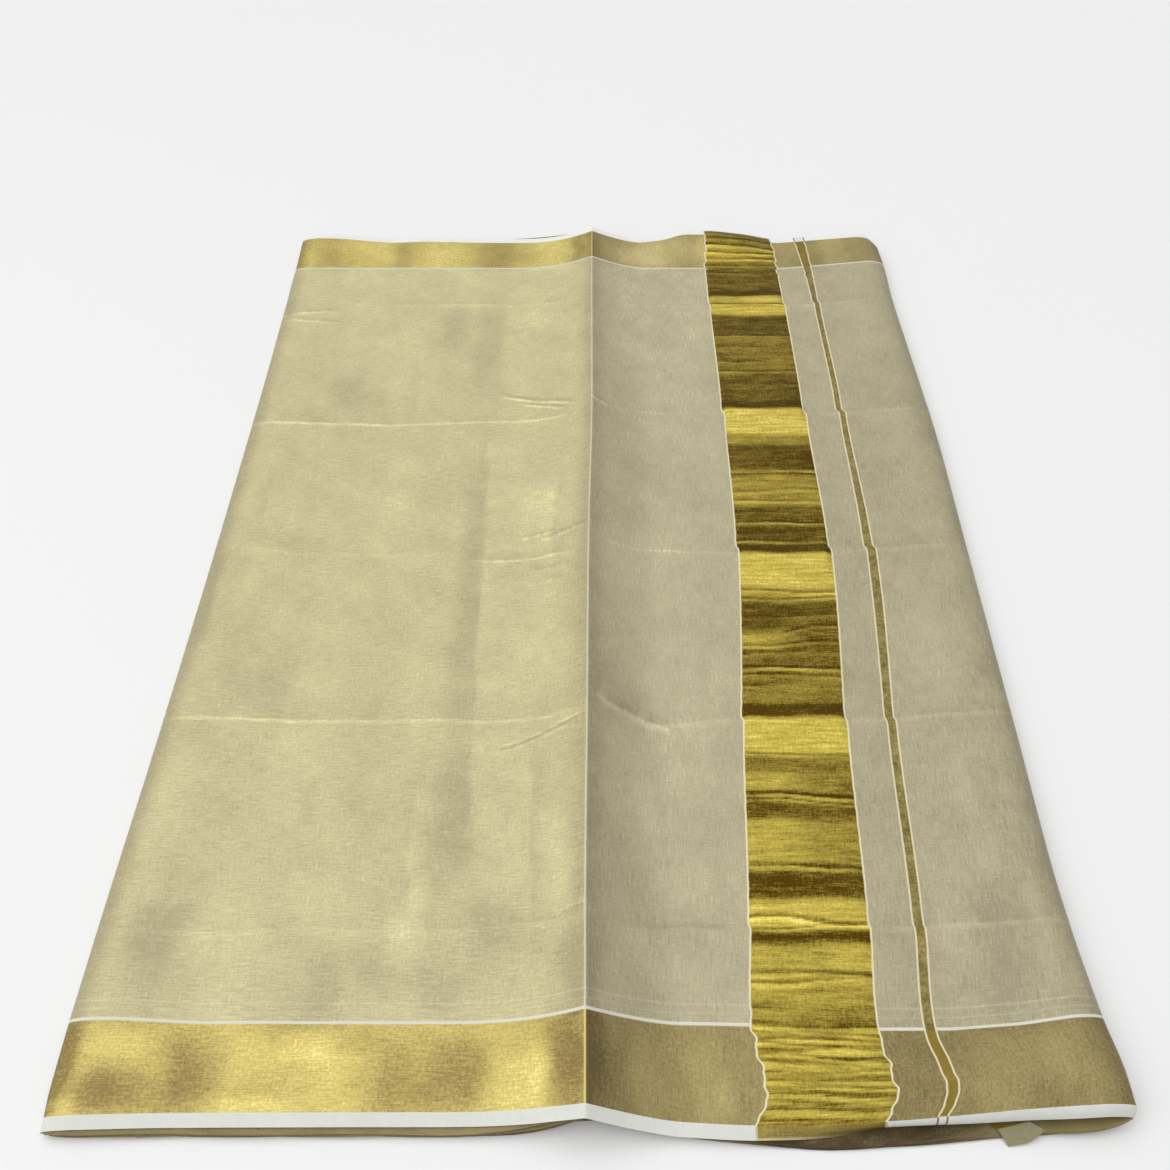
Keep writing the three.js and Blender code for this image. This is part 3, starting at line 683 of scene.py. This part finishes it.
def zoneEdge(name, across):
    place = lineAt(name, across)
    if name not in ("leftFold", "crease", "rightFold"):
        place = place + kinkAt(across) - pulls["nearStep"] * smoothStep(-across, 572, 596)
    if name in ("bandStart", "bandEnd"):
        along = 0 if name == "bandStart" else pulls["endAlong"]
        place = place + jagOf(across + along) * smoothStep(edge - np.abs(across), 0, pulls["endFade"])
    if name in ("stripeStart", "stripeEnd"):
        place = place + pulls["ofStripe"] * jagOf(across + pulls["stripeAlong"])
    return place


def flatPoints(zone, across):
    start, end = zoneEdge(zone["from"], across), zoneEdge(zone["to"], across)
    if zone["from"] == "leftFold":
        start = start + leftRollWidth
    if zone["to"] == "rightFold":
        end = end - rightRollWidth
    x = start[:, None] + (end - start)[:, None] * zone["shares"][None, :]
    wide = overColumns(across, x.shape[1])
    return np.stack([x, depthOf(x, wide), topHeight(x, wide)], axis=2)


def rollPoints(side, turns, across):
    left = side < 0
    width = leftRollWidth if left else rightRollWidth
    start = lineAt("leftFold" if left else "rightFold", across) - side * width
    floor = np.full_like(across, leftRollFloor) if left else sectionAt("foldFloor", across)
    high = topHeight(start, across)
    angle = np.radians(turns)[None, :]
    x = start[:, None] + side * width * np.sin(angle)
    z = floor[:, None] + (high - floor)[:, None] * (1 + np.cos(angle)) / 2
    return np.stack([x, depthOf(x, overColumns(across, len(turns))), z], axis=2)


# Columns close up toward the lengthways crease; "start" is where the cloth map of a zone begins
zones = {
    "left": {"from": "leftFold", "to": "crease", "shares": 1 - (1 - np.linspace(0, 1, 85)) ** 1.45,
             "length": 0.47, "start": 0},
    "centre": {"from": "crease", "to": "bandStart", "shares": np.linspace(0, 1, 43) ** 1.3,
               "length": 0.155, "start": 0},
    "band": {"from": "bandStart", "to": "bandEnd", "shares": np.linspace(0, 1, 37), "length": 0.098},
    "inner": {"from": "bandEnd", "to": "stripeStart", "shares": np.linspace(0, 1, 13),
              "length": 0.036, "start": 260},
    "stripe": {"from": "stripeStart", "to": "stripeEnd", "shares": np.linspace(0, 1, 7), "length": 0.0102},
    "right": {"from": "stripeEnd", "to": "rightFold", "shares": np.linspace(0, 1, 25),
              "length": 0.125, "start": 300},
}
leftTurns = np.linspace(180, 0, 25)[:-1]
rightTurns = np.linspace(0, 140, 21)[1:]
underRun = 40
underColumns = 6


def zonePoints(name, across):
    points = flatPoints(zones[name], across)
    if name == "left":
        roll = rollPoints(-1, leftTurns, across)
        under = np.repeat(roll[:, :1], underColumns, axis=1)
        under[:, :, 0] += np.linspace(underRun, underRun / underColumns, underColumns)[None, :]
        under[:, :, 1] = depthOf(under[:, :, 0], overColumns(across, underColumns))
        points = np.concatenate([under, roll, points], axis=1)
    if name == "right":
        points = np.concatenate([points, rollPoints(1, rightTurns, across)], axis=1)
    return points


selvedgeCurl = {"tucked": 0.85, "tuckTurns": (62, 118), "rootShare": 0.55, "lowest": 0.6}


def curledSelvedge(name, across):
    # the near selvedge hangs from the border's edge in a smooth curl, and tucks in under the right fold
    points = zonePoints(name, across)
    base = points[-1].copy()
    kept = np.ones(points.shape[1])
    if name == "right":
        under = smoothStep(rightTurns, *selvedgeCurl["tuckTurns"])
        kept[-len(rightTurns):] = 1 - selvedgeCurl["tucked"] * under
    curl = np.radians(nearAt("curl", base[:, 0]))
    lowest = np.minimum(base[:, 2], selvedgeCurl["lowest"])
    root = selvedgeCurl["rootShare"]
    for row, share in enumerate(np.linspace(1, 0, len(points))):
        turn = curl * (root + (1 - root) * share)
        out = share * (edge - goldEdge) * kept
        points[row, :, 0] = base[:, 0]
        points[row, :, 1] = base[:, 1] - out * np.cos(turn)
        points[row, :, 2] = np.maximum(base[:, 2] - out * np.sin(turn), lowest)
    return points


# Cloth pieces from grids of points

def makeCloth(name, points, uvMaps, finish, thickness, values=None):
    rowCount, columnCount = points.shape[:2]
    mesh = gridMesh(name, columnCount - 1, rowCount - 1, 1)
    start = np.empty(len(mesh.vertices) * 3)
    mesh.vertices.foreach_get("co", start)
    start = start.reshape(-1, 3)
    column = np.rint((start[:, 0] + 1) / 2 * (columnCount - 1)).astype(int)
    row = np.rint((start[:, 1] + 1) / 2 * (rowCount - 1)).astype(int)
    mesh.vertices.foreach_set("co", (points[row, column] * mm).ravel())
    corner = np.empty(len(mesh.loops), dtype=int)
    mesh.loops.foreach_get("vertex_index", corner)
    for mapName, place in uvMaps.items():
        layer = mesh.uv_layers.new(name=mapName)
        layer.data.foreach_set("uv", place[row[corner], column[corner]].ravel())
    for valueName, value in (values or {}).items():
        field = mesh.attributes.new(valueName, "FLOAT", "POINT")
        field.data.foreach_set("value", value[row, column].ravel())
    mesh.update()
    mesh.materials.append(finishes[finish])
    piece = addObject(name, mesh)
    wall = piece.modifiers.new("clothThickness", "SOLIDIFY")
    wall.thickness = thickness * mm
    wall.offset = -1
    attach(piece, "root")
    return piece


def clothMap(points, across, start=0.0, fromEnd=False):
    # metres along the cloth from its lengthways crease, and across it; start in mm, one or one a row
    step = np.linalg.norm(np.diff(points[:, :, [0, 2]], axis=1), axis=2)
    along = np.concatenate([np.zeros((len(points), 1)), np.cumsum(step, axis=1)], axis=1)
    if fromEnd:
        along = along - along[:, -1:]
    along = along + np.reshape(start, (-1, 1))
    return np.stack([along * mm, overColumns(across, points.shape[1]) * mm], axis=2)


# Finishes: three tones, then the amount of each streak, fleck and cloud; level shifts the tone; lean is the
# share of the painted highlight and shade, glint a painted highlight colour
lookNames = ("dark light glint metal rough lengthways crossways grain slubs clouds "
             "stretch bump lean level gloss").split()
evenClouds = (16, 13, 1)
looks = {
    # painted light: the tissue left of the crease is a lighter, yellower copy and right of it a greyer one,
    # for the light on the tent's two sides; the right's stronger crossways streaks are its own threads
    "tissueLeft": ((0.41, 0.36, 0.205), (0.75, 0.68, 0.372), (0.94, 0.85, 0.44),
                   0.26, 0.36, 1.6, 0.8, 0.9, 0.5, 0.3, evenClouds, 0.35, 0.52, 0.0, 0.4),
    "tissueRight": ((0.32, 0.283, 0.178), (0.58, 0.527, 0.335), (0.72, 0.66, 0.44),
                    0.26, 0.38, 0.7, 1.5, 0.7, 0.5, 0.45, evenClouds, 0.35, 0.42, 0.0, 0.4),
    # painted light: the same lighter left and darker right copies for the gold borders
    "goldBorderLeft": ((0.25, 0.18, 0.055), (0.80, 0.66, 0.20), (0.97, 0.84, 0.34),
                       0.5, 0.3, 1.1, 0.4, 1.1, 0.1, 0.25, (24, 20, 1), 0.35, 0.5, 0.02, 0.4),
    "goldBorderRight": ((0.16, 0.118, 0.044), (0.54, 0.44, 0.18), (0.70, 0.58, 0.28),
                        0.5, 0.34, 0.3, 0.9, 0.9, 0.2, 0.22, (24, 16, 1), 0.35, 0.5, -0.09, 0.4),
    "zariBand": ((0.098, 0.052, 0.0), (0.83, 0.665, 0.12), (0.99, 0.88, 0.30),
                 0.88, 0.34, 1.0, 0.5, 0.8, 0.1, 0.42, (15, 62, 1), 0.45, 0.43, -0.235, 0.4),
    "zariStripe": ((0.115, 0.08, 0.018), (0.48, 0.385, 0.125), (0.6, 0.5, 0.2),
                   0.5, 0.36, 1.0, 0.5, 1.2, 0.2, 1.0, (60, 70, 1), 0.45, 0.0, -0.05, 0.4),
    "selvedgeCotton": ((0.66, 0.675, 0.62), (0.82, 0.83, 0.77), (0.84, 0.85, 0.79),
                       0.0, 0.75, 0.5, 0.7, 0.5, 0.0, 0.4, evenClouds, 0.5, 0.0, 0.0, 0.25),
    # painted light: a lighter copy of the selvedge cotton for the far edge
    "farSelvedgeCotton": ((0.80, 0.81, 0.77), (0.92, 0.93, 0.90), (0.84, 0.85, 0.79),
                          0.0, 0.75, 0.5, 0.7, 0.5, 0.0, 0.4, evenClouds, 0.5, 0.0, 0.0, 0.25),
    "shadedPlies": ((0.05, 0.032, 0.006), (0.39, 0.315, 0.15), (0.46, 0.38, 0.19),
                    0.3, 0.45, 0.9, 0.6, 0.6, 0.2, 0.5, evenClouds, 0.35, 0.6, 0.12, 0.4),
    # the reverse of the tissue, darkened with painted shade where it lies under the lifted corner
    "returningReverse": ((0.175, 0.135, 0.043), (0.30, 0.242, 0.096), (0.36, 0.30, 0.13),
                         0.15, 0.55, 0.6, 0.6, 0.6, 0.2, 0.5, evenClouds, 0.35, 0.0, 0.0, 0.4),
    # the white selvedge cotton, darkened with painted shade under the lifted corner
    "turnedCotton": ((0.22, 0.205, 0.105), (0.38, 0.36, 0.215), (0.42, 0.40, 0.25),
                     0.0, 0.75, 0.6, 0.6, 0.5, 0.0, 0.4, evenClouds, 0.5, 0.0, 0.0, 0.25),
}

# What is woven or pressed into a finish; places across the cloth in metres
trims = {
    "creaseWidth": (0.0003, 0.0011), "creaseShare": 0.6,
    "tissueCreaseHighlight": (0.86, 0.80, 0.56), "goldCreaseHighlight": (0.95, 0.78, 0.28),
    "lineSoftness": 0.0004, "edgeSoftness": 0.0003, "pastEdge": 0.7,
    "faintLines": ((0.5095, 0.5112), (0.5168, 0.5178)), "faintShare": 0.16,
    "paleThread": (0.80, 0.76, 0.62), "goldThread": (1.0, 0.85, 0.45),
    "borderLine": (0.5, 0.5264), "lineCream": (0.70, 0.69, 0.58),
    "bandLine": (0.0016, (0.79, 0.725, 0.475)), "stripeLine": (0.0015, (0.74, 0.67, 0.45)),
    "bandHem": (0.5908, 0.5, (0.36, 0.28, 0.10)), "bandEndThread": (0.5984, 0.7, (0.66, 0.60, 0.38)),
    "deeperGold": (0.5255, 0.5897), "deeperShare": 0.75, "deeperColor": (0.27, 0.185, 0.012),
    "stripeCotton": (0.76, 0.77, 0.70), "stripeThreads": (0.24, 0.18, 0.10),
    "flapGoldFrom": 0.0122, "flapGold": (0.13, 0.085, 0.004),
    "threadPitch": 0.00052, "weaveDepth": 0.00012, "roughSpread": 0.12,
}


def newGroup(name, inputs, outputs):
    group = bpy.data.node_groups.new(name, "ShaderNodeTree")
    for sockets, way in ((inputs, "INPUT"), (outputs, "OUTPUT")):
        for socket, kind in sockets.items():
            group.interface.new_socket(socket, in_out=way, socket_type=f"NodeSocket{kind}")
    return group, group.nodes.new("NodeGroupInput").outputs, group.nodes.new("NodeGroupOutput").inputs


def makeThreadGroup():
    group, given, result = newGroup(
        "wovenThreads",
        {"Cloth Place": "Vector", "Lengthways Streaks": "Float", "Crossways Streaks": "Float",
         "Grain": "Float", "Slub Amount": "Float"},
        {"Shade": "Float", "Slubs": "Float", "Weave Height": "Float"})
    place = given["Cloth Place"]
    total = 0.5
    for stretch, strength in (((60, 1100, 1), "Lengthways Streaks"), ((1100, 60, 1), "Crossways Streaks"),
                              ((400, 400, 9), "Grain")):
        streak = mathNode(group, "SUBTRACT", stretchedNoise(group, place, stretch, 3, 0.7), 0.5)
        total = mathNode(group, "ADD", mathNode(group, "MULTIPLY", streak, given[strength]), total)
    group.links.new(total, result["Shade"])
    slubs = 0.0
    for stretch in ((95, 1500, 3), (1700, 85, 5)):
        fleck = stretchedNoise(group, place, stretch, 1, 0.5)
        slubs = mathNode(group, "MAXIMUM", fadeMask(group, fleck, 0.77, 0.67), slubs)
    group.links.new(mathNode(group, "MULTIPLY", slubs, given["Slub Amount"]), result["Slubs"])
    parts = addNode(group, "ShaderNodeSeparateXYZ")
    group.links.new(place, parts.inputs[0])
    turns = 2 * math.pi / trims["threadPitch"]
    threads = [mathNode(group, "SINE", mathNode(group, "MULTIPLY", parts.outputs[i], turns)) for i in (0, 1)]
    weave = mathNode(group, "MULTIPLY", *threads)
    group.links.new(mathNode(group, "ADD", weave, total), result["Weave Height"])
    return group


def makeCloudGroup():
    group, given, result = newGroup(
        "softClouds", {"Cloth Place": "Vector", "Stretch": "Vector", "Amount": "Float"}, {"Cloud": "Float"})
    spread = addNode(group, "ShaderNodeVectorMath", operation="MULTIPLY")
    group.links.new(given["Cloth Place"], spread.inputs[0])
    group.links.new(given["Stretch"], spread.inputs[1])
    broad = stretchedNoise(group, spread.outputs[0], (1, 1, 1), 2, 0.5)
    small = stretchedNoise(group, spread.outputs[0], (3.1, 2.6, 1), 2, 0.6)
    cloud = mathNode(group, "SUBTRACT", mathNode(group, "ADD", broad, small), 1.0)
    group.links.new(mathNode(group, "MULTIPLY", cloud, given["Amount"]), result["Cloud"])
    return group


threadGroup = makeThreadGroup()
cloudGroup = makeCloudGroup()


def startMaterial(name):
    # dark to light with the tone, which carries the painted highlight and shade of the lean attribute, and a
    # painted yellower glint where it runs over
    look = dict(zip(lookNames, looks[name]))
    material = bpy.data.materials.new(name)
    material.use_nodes = True
    tree = material.node_tree
    tree.nodes["Principled BSDF"].inputs["Specular IOR Level"].default_value = look["gloss"]
    clothPlace = addNode(tree, "ShaderNodeUVMap", uv_map="cloth").outputs[0]
    threads = addNode(tree, "ShaderNodeGroup", node_tree=threadGroup)
    for socket, key in (("Lengthways Streaks", "lengthways"), ("Crossways Streaks", "crossways"),
                        ("Slub Amount", "slubs"), ("Grain", "grain")):
        threads.inputs[socket].default_value = look[key]
    clouds = addNode(tree, "ShaderNodeGroup", node_tree=cloudGroup)
    clouds.inputs["Amount"].default_value = look["clouds"]
    clouds.inputs["Stretch"].default_value = look["stretch"]
    parts = addNode(tree, "ShaderNodeSeparateXYZ")
    for socket in (threads.inputs["Cloth Place"], clouds.inputs["Cloth Place"], parts.inputs[0]):
        tree.links.new(clothPlace, socket)
    lean = addNode(tree, "ShaderNodeAttribute", attribute_name="lean").outputs["Fac"]
    tone = mathNode(tree, "ADD", threads.outputs["Shade"], clouds.outputs["Cloud"])
    tone = mathNode(tree, "ADD", tone, look["level"])
    tone = mathNode(tree, "ADD", tone, mathNode(tree, "MULTIPLY", lean, look["lean"]))
    color = mixColors(tree, tone, look["dark"], look["light"])
    color = mixColors(tree, fadeMask(tree, tone, 1.2, 0.85), color, look["glint"])
    return look, material, threads.outputs, parts.outputs, color


def finishMaterial(look, material, threads, color, bare=None):
    # bare: where white cotton covers the metal threads
    tree = material.node_tree
    shader = tree.nodes["Principled BSDF"]
    tree.links.new(color, shader.inputs["Base Color"])
    shader.inputs["Metallic"].default_value = look["metal"]
    if bare is not None:
        covered = mathNode(tree, "SUBTRACT", 1.0, bare)
        tree.links.new(mathNode(tree, "MULTIPLY", covered, look["metal"]), shader.inputs["Metallic"])
    rough = mathNode(tree, "MULTIPLY", threads["Shade"], trims["roughSpread"])
    tree.links.new(mathNode(tree, "ADD", rough, look["rough"]), shader.inputs["Roughness"])
    bump = addNode(tree, "ShaderNodeBump", {"Strength": look["bump"], "Distance": trims["weaveDepth"]})
    tree.links.new(threads["Weave Height"], bump.inputs["Height"])
    tree.links.new(bump.outputs[0], shader.inputs["Normal"])
    return material


def paintedCreaseHighlight(tree, parts, color, shine):
    # a painted highlight along the top of the pressed lengthways crease
    line = fadeMask(tree, mathNode(tree, "ABSOLUTE", parts[0]), *trims["creaseWidth"])
    return mixColors(tree, mathNode(tree, "MULTIPLY", line, trims["creaseShare"]), color, shine)


def wovenLine(tree, parts, low, high, nearOnly=False):
    # mask of a line woven between two distances from the cloth's middle
    if nearOnly:
        away = mathNode(tree, "MULTIPLY", parts[1], -1.0)
    else:
        away = mathNode(tree, "ABSOLUTE", parts[1])
    soft = trims["lineSoftness"]
    return mathNode(tree, "MULTIPLY", fadeMask(tree, away, low + soft, low - soft),
                    fadeMask(tree, away, high - soft, high + soft))


def tissueMaterial(name):
    look, material, threads, parts, color = startMaterial(name)
    tree = material.node_tree
    faint = [wovenLine(tree, parts, *line, nearOnly=True) for line in trims["faintLines"]]
    faint = mathNode(tree, "MULTIPLY", mathNode(tree, "MAXIMUM", *faint), trims["faintShare"])
    pale = mathNode(tree, "MAXIMUM", faint, threads["Slubs"])
    color = mixColors(tree, pale, color, trims["paleThread"])
    color = paintedCreaseHighlight(tree, parts, color, trims["tissueCreaseHighlight"])
    return finishMaterial(look, material, threads, color)


def borderMaterial(name):
    look, material, threads, parts, color = startMaterial(name)
    tree = material.node_tree
    color = mixColors(tree, threads["Slubs"], color, trims["goldThread"])
    color = paintedCreaseHighlight(tree, parts, color, trims["goldCreaseHighlight"])
    white = wovenLine(tree, parts, *trims["borderLine"])
    color = mixColors(tree, white, color, trims["lineCream"])
    return finishMaterial(look, material, threads, color, white)


def edgeLines(tree, width, lineColor, color):
    # the white lines woven along both sides of the band and of the stripe
    gaps = addNode(tree, "ShaderNodeSeparateXYZ")
    tree.links.new(addNode(tree, "ShaderNodeUVMap", uv_map="sides").outputs[0], gaps.inputs[0])
    nearest = mathNode(tree, "MINIMUM", gaps.outputs[0], gaps.outputs[1])
    white = fadeMask(tree, nearest, width - trims["edgeSoftness"], width + trims["edgeSoftness"])
    return white, mixColors(tree, white, color, lineColor)


def bandMaterial(name):
    look, material, threads, parts, color = startMaterial(name)
    tree = material.node_tree
    white, color = edgeLines(tree, *trims["bandLine"], color)
    # its ends show the paler reverse threads, then one bright thread along the edge
    for low, share, paler in (trims["bandHem"], trims["bandEndThread"]):
        shown = mathNode(tree, "MULTIPLY", wovenLine(tree, parts, low, trims["pastEdge"]), share)
        color = mixColors(tree, shown, color, paler)
    return finishMaterial(look, material, threads, color, white)


def stripeMaterial(name):
    look, material, threads, parts, color = startMaterial(name)
    tree = material.node_tree
    white, color = edgeLines(tree, *trims["stripeLine"], color)
    # deeper gold between the borders' lines and the selvedges
    inside = mathNode(tree, "SUBTRACT", trims["deeperShare"], white, clamp=True)
    deeper = mathNode(tree, "MULTIPLY", wovenLine(tree, parts, *trims["deeperGold"]), inside)
    color = mixColors(tree, deeper, color, trims["deeperColor"])
    # over the selvedges its ground turns white and its two edges to brown threads
    cotton = wovenLine(tree, parts, trims["deeperGold"][1], trims["pastEdge"])
    ends = mixColors(tree, white, trims["stripeCotton"], trims["stripeThreads"])
    color = mixColors(tree, cotton, color, ends)
    return finishMaterial(look, material, threads, color, mathNode(tree, "MAXIMUM", white, cotton))


def plainMaterial(name):
    look, material, threads, parts, color = startMaterial(name)
    if name == "turnedCotton":
        # the reverse of the gold border along the flap, darkened with painted shade
        start, soft = trims["flapGoldFrom"], trims["edgeSoftness"]
        border = fadeMask(material.node_tree, parts[1], start + soft, start - soft)
        color = mixColors(material.node_tree, border, color, trims["flapGold"])
    return finishMaterial(look, material, threads, color)


makers = {"tissueLeft": tissueMaterial, "tissueRight": tissueMaterial, "goldBorderLeft": borderMaterial,
          "goldBorderRight": borderMaterial, "zariBand": bandMaterial, "zariStripe": stripeMaterial}
finishes = {name: makers.get(name, plainMaterial)(name) for name in looks}
print("finishes ready")


# The top ply, zone by zone

topPly = {"thickness": 0.4, "widths": {"near_selvedge": 0.010, "near_border": 0.066, "ground": 1.048,
                                       "far_border": 0.066, "far_selvedge": 0.010}}
stripFinish = {"near_selvedge": "selvedgeCotton", "far_selvedge": "farSelvedgeCotton",
               "near_border": "goldBorder", "far_border": "goldBorder", "ground": "tissue"}


def makeZones():
    for strip, across in strips.items():
        for zone in ("left", "centre", "inner", "right"):
            pointsOf = curledSelvedge if strip == "near_selvedge" else zonePoints
            points = pointsOf(zone, across)
            finish = stripFinish[strip]
            if "selvedge" not in strip:
                # left of the crease the lighter copy of the finish, right of it the darker one: painted
                # light
                finish += "Left" if zone == "left" else "Right"
            node = f"{strip}_{zone}"
            start = zones[zone]["start"]
            if zone != "left":
                # the threads run straight past the band's pulled edges
                start = start + points[:, 0, 0] - lineAt(zones[zone]["from"], across)
            maps = {"cloth": clothMap(points, across, start, zone == "left")}
            # the lean attribute carries the painted highlight and shade of the ground and borders
            lean = reliefLean(points[:, :, 0], overColumns(across, points.shape[1]))
            piece = makeCloth(f"saree_{node}", points, maps, finish, topPly["thickness"], {"lean": lean})
            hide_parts(node)
    print("top ply's ground, borders and selvedges ready")


def wholeWidth(zone, spacing):
    # one grid from selvedge to selvedge, for a stretch woven across the whole cloth
    ground = rowsBetween(-borderLine, borderLine, spacing)
    inner = np.concatenate([strips["near_border"][:-1], ground[:-1], strips["far_border"]])
    nearRows, farRows = strips["near_selvedge"], strips["far_selvedge"]
    across = np.concatenate([nearRows[:-1], inner, farRows[1:]])
    near, far = curledSelvedge(zone, nearRows), zonePoints(zone, farRows)
    points = np.concatenate([near[:-1], zonePoints(zone, inner), far[1:]])
    along = clothMap(points, across)[:, :, 0]
    return points, across, np.stack([along, along[:, -1:] - along], axis=2)


def makeBandAndStripe():
    for zone, finish, node in (("band", "zariBand", "pallu_band"), ("stripe", "zariStripe", "pallu_stripe")):
        points, across, sides = wholeWidth(zone, rowSpacing[zone])
        # the lean attribute carries the band's and stripe's painted highlight and shade
        lean = bandLean(points[:, :, 0], overColumns(across, points.shape[1]))
        piece = makeCloth(f"saree_{node}", points, {"cloth": clothMap(points, across), "sides": sides},
                          finish, topPly["thickness"], {"lean": lean})
        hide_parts(node)
    print("pallu band and stripe ready")


makeZones()
makeBandAndStripe()


# The seven plies below: three loops nested in the left fold, and the ply on the table

stack = {"thickness": 0.36, "rows": 58, "columns": 46, "foldColumns": 12, "insets": (3.2, 6.4, 9.6),
         "lips": (0.8, -0.9, 1.2, -0.5, 1.0, -1.4, 0.3), "edgeWaves": (23, 31), "waveHeight": 0.5,
         "droop": 2.0, "droopReach": 9, "lift": 0.45, "step": 1.2, "rightReach": 9, "mapEdge": 595,
         "shadedFrom": (560, 596), "shadedAround": (182, 86), "length": 1.5, "width": 1.19}


def plyRows():
    # rows close up toward both edges
    turn = np.cos(math.pi * np.linspace(0, 1, stack["rows"] + 1))[:, None]
    return 0.5 - 0.5 * turn * (0.6 + 0.4 * np.abs(turn))


def plyPoints(x, level, ply):
    # x: one row of places along the cloth for each row; level: share of the stack's height
    (nearWave, farWave), height, reach = stack["edgeWaves"], stack["waveHeight"], stack["droopReach"]
    near = -(nearAt("hiddenEnd", x) + stack["lips"][ply] + height * np.sin(x / nearWave + ply * 1.7))
    far = farAt("hiddenEnd", x) + stack["lips"][ply] + height * np.sin(x / farWave + ply)
    y = near + (far - near) * plyRows()
    across = np.clip(y + (y - depthOf(x, y)), -goldEdge, goldEdge)
    tunnel = tunnelAt(x, across)
    top = stackHeight(x, across) - stackTopGap
    ends = smoothStep(-y, -near - reach, -near) + smoothStep(y, far - reach, far)
    top = top - np.minimum(stack["droop"], (top - tunnel) / 3) * ends
    bottom = tunnel + stack["lift"]
    return np.stack([x, y, bottom + (top - bottom) * level], axis=2)


def plyEnds():
    across = np.linspace(-stack["mapEdge"], stack["mapEdge"], stack["rows"] + 1)[:, None]
    left = lineAt("leftFold", across) + leftRollWidth
    loss = 2 * (sectionAt("foldFloor", across) - rollFloor)
    reach = np.clip(stack["rightReach"] - loss * 0.6, -2, stack["rightReach"])
    return left, lineAt("rightFold", across) - rightRollWidth + reach


def makePlies():
    left, right = plyEnds()
    along = np.linspace(0, 1, stack["columns"] + 1)[None, :]
    across = np.linspace(-stack["mapEdge"], stack["mapEdge"], stack["rows"] + 1)
    for loop, inset in enumerate(stack["insets"]):
        upperPly, lowerPly = loop, hiddenPlies - 2 - loop
        x = left + (right - stack["step"] * loop - left) * along
        upper = plyPoints(x, 1 - upperPly / (hiddenPlies - 1), upperPly)
        lower = plyPoints(x, 1 - lowerPly / (hiddenPlies - 1), lowerPly)
        angle = np.radians(np.linspace(0, 180, stack["foldColumns"] + 1)[1:-1])[None, :]
        high, low = upper[:, :1], lower[:, :1]
        bend = high + (low - high) * ((1 - np.cos(angle)) / 2)[:, :, None]
        bend[:, :, 0] = high[:, :, 0] - (leftRollWidth - inset) * np.sin(angle)
        points = np.concatenate([lower[:, ::-1], bend[:, ::-1], upper], axis=1)
        # darker where the lifted end of the band shades its near edge
        middle, reach = stack["shadedAround"]
        shade = np.exp(-(((points[:, :, 0] - middle) / reach) ** 4))
        shade = shade * smoothStep(-points[:, :, 1], *stack["shadedFrom"])
        piece = makeCloth(f"saree_inner_loop_{loop + 1}", points, {"cloth": clothMap(points, across)},
                          "shadedPlies", stack["thickness"], {"lean": -shade})
        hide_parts("folded_layers")
    x = left + underRun + (right - left - underRun) * along
    points = plyPoints(x, 0.0, hiddenPlies - 1)
    piece = makeCloth("saree_bottom_ply", points, {"cloth": clothMap(points, across)}, "shadedPlies",
                      stack["thickness"])
    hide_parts("folded_layers")
    print("hidden plies ready")


makePlies()


# The ply that comes back under the lifted corner, and its turned selvedge

corner = {"thickness": 0.4, "plySpan": (300, 380, 41), "plyRows": 25, "edgeDrop": 3,
          "edgeShare": 0.14, "waveHeight": 0.25, "flapRows": 13, "flapColumns": 25,
          "flapBulge": 0.8, "flapWidth": 18.3}
underPly = tableOf("x nearTop innerTop nearEnd innerEnd", [
    (300, 6.2, 6.2, 602, 556), (314, 6.8, 6.6, 603.4, 556), (334, 8, 7.2, 604, 558),
    (352, 9.8, 8, 603.4, 560), (368, 12, 9.6, 600.5, 562), (380, 14, 11.5, 596, 566),
])
turnedCorner = tableOf("along innerX innerY innerZ seamX seamY seamZ outerX outerY outerZ", [
    (0, 268, -590, 8.6, 283.5, -601, 4.6, 290, -611.5, 1),
    (0.5, 288, -588, 9.6, 294.5, -599.4, 7, 303.5, -609.4, 3),
    (1, 308, -586, 11, 306, -597, 9, 316.5, -602.8, 7.8),
])


def makeReturningPly():
    x = np.linspace(*corner["plySpan"])[None, :]
    t = np.linspace(0, 1, corner["plyRows"])[:, None]
    value = {key: easedCurve(underPly["x"], underPly[key], x) for key in underPly}
    y = -value["nearEnd"] + (value["nearEnd"] - value["innerEnd"]) * t ** 1.6
    z = value["nearTop"] + (value["innerTop"] - value["nearTop"]) * t
    z = z - corner["edgeDrop"] * (1 - smoothStep(t, 0, corner["edgeShare"]))
    z = z + corner["waveHeight"] * np.sin(x / 7 + t * 5) * (1 - t)
    points = np.stack(np.broadcast_arrays(x, y, z), axis=2)
    ply = makeCloth("saree_returning_ply", points, {"cloth": clothMap(points, y[:, 0])},
                    "returningReverse", corner["thickness"])
    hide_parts("returning_ply")
    print("returning ply ready")


def makeTurnedSelvedge():
    along = np.linspace(0, 1, corner["flapColumns"])
    value = {key: easedCurve(turnedCorner["along"], turnedCorner[key], along) for key in turnedCorner}
    inner, seam, outer = (np.stack([value[part + axis] for axis in "XYZ"], axis=1)
                          for part in ("inner", "seam", "outer"))
    share = np.linspace(0, 1, corner["flapRows"])[:, None, None]
    cotton, gold = np.clip(share * 1.5, 0, 1), np.clip(share * 3 - 2, 0, 1)
    points = (outer * (1 - cotton) + seam * cotton) * (1 - gold) + inner * gold
    points[:, :, 2] += corner["flapBulge"] * np.sin(math.pi * share[:, :, 0])
    across = np.linspace(0, corner["flapWidth"], corner["flapRows"])
    flap = makeCloth("saree_turned_selvedge", points, {"cloth": clothMap(points, across)},
                     "turnedCotton", corner["thickness"])
    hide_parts("turned_selvedge")
    print("turned selvedge ready")


makeReturningPly()
makeTurnedSelvedge()
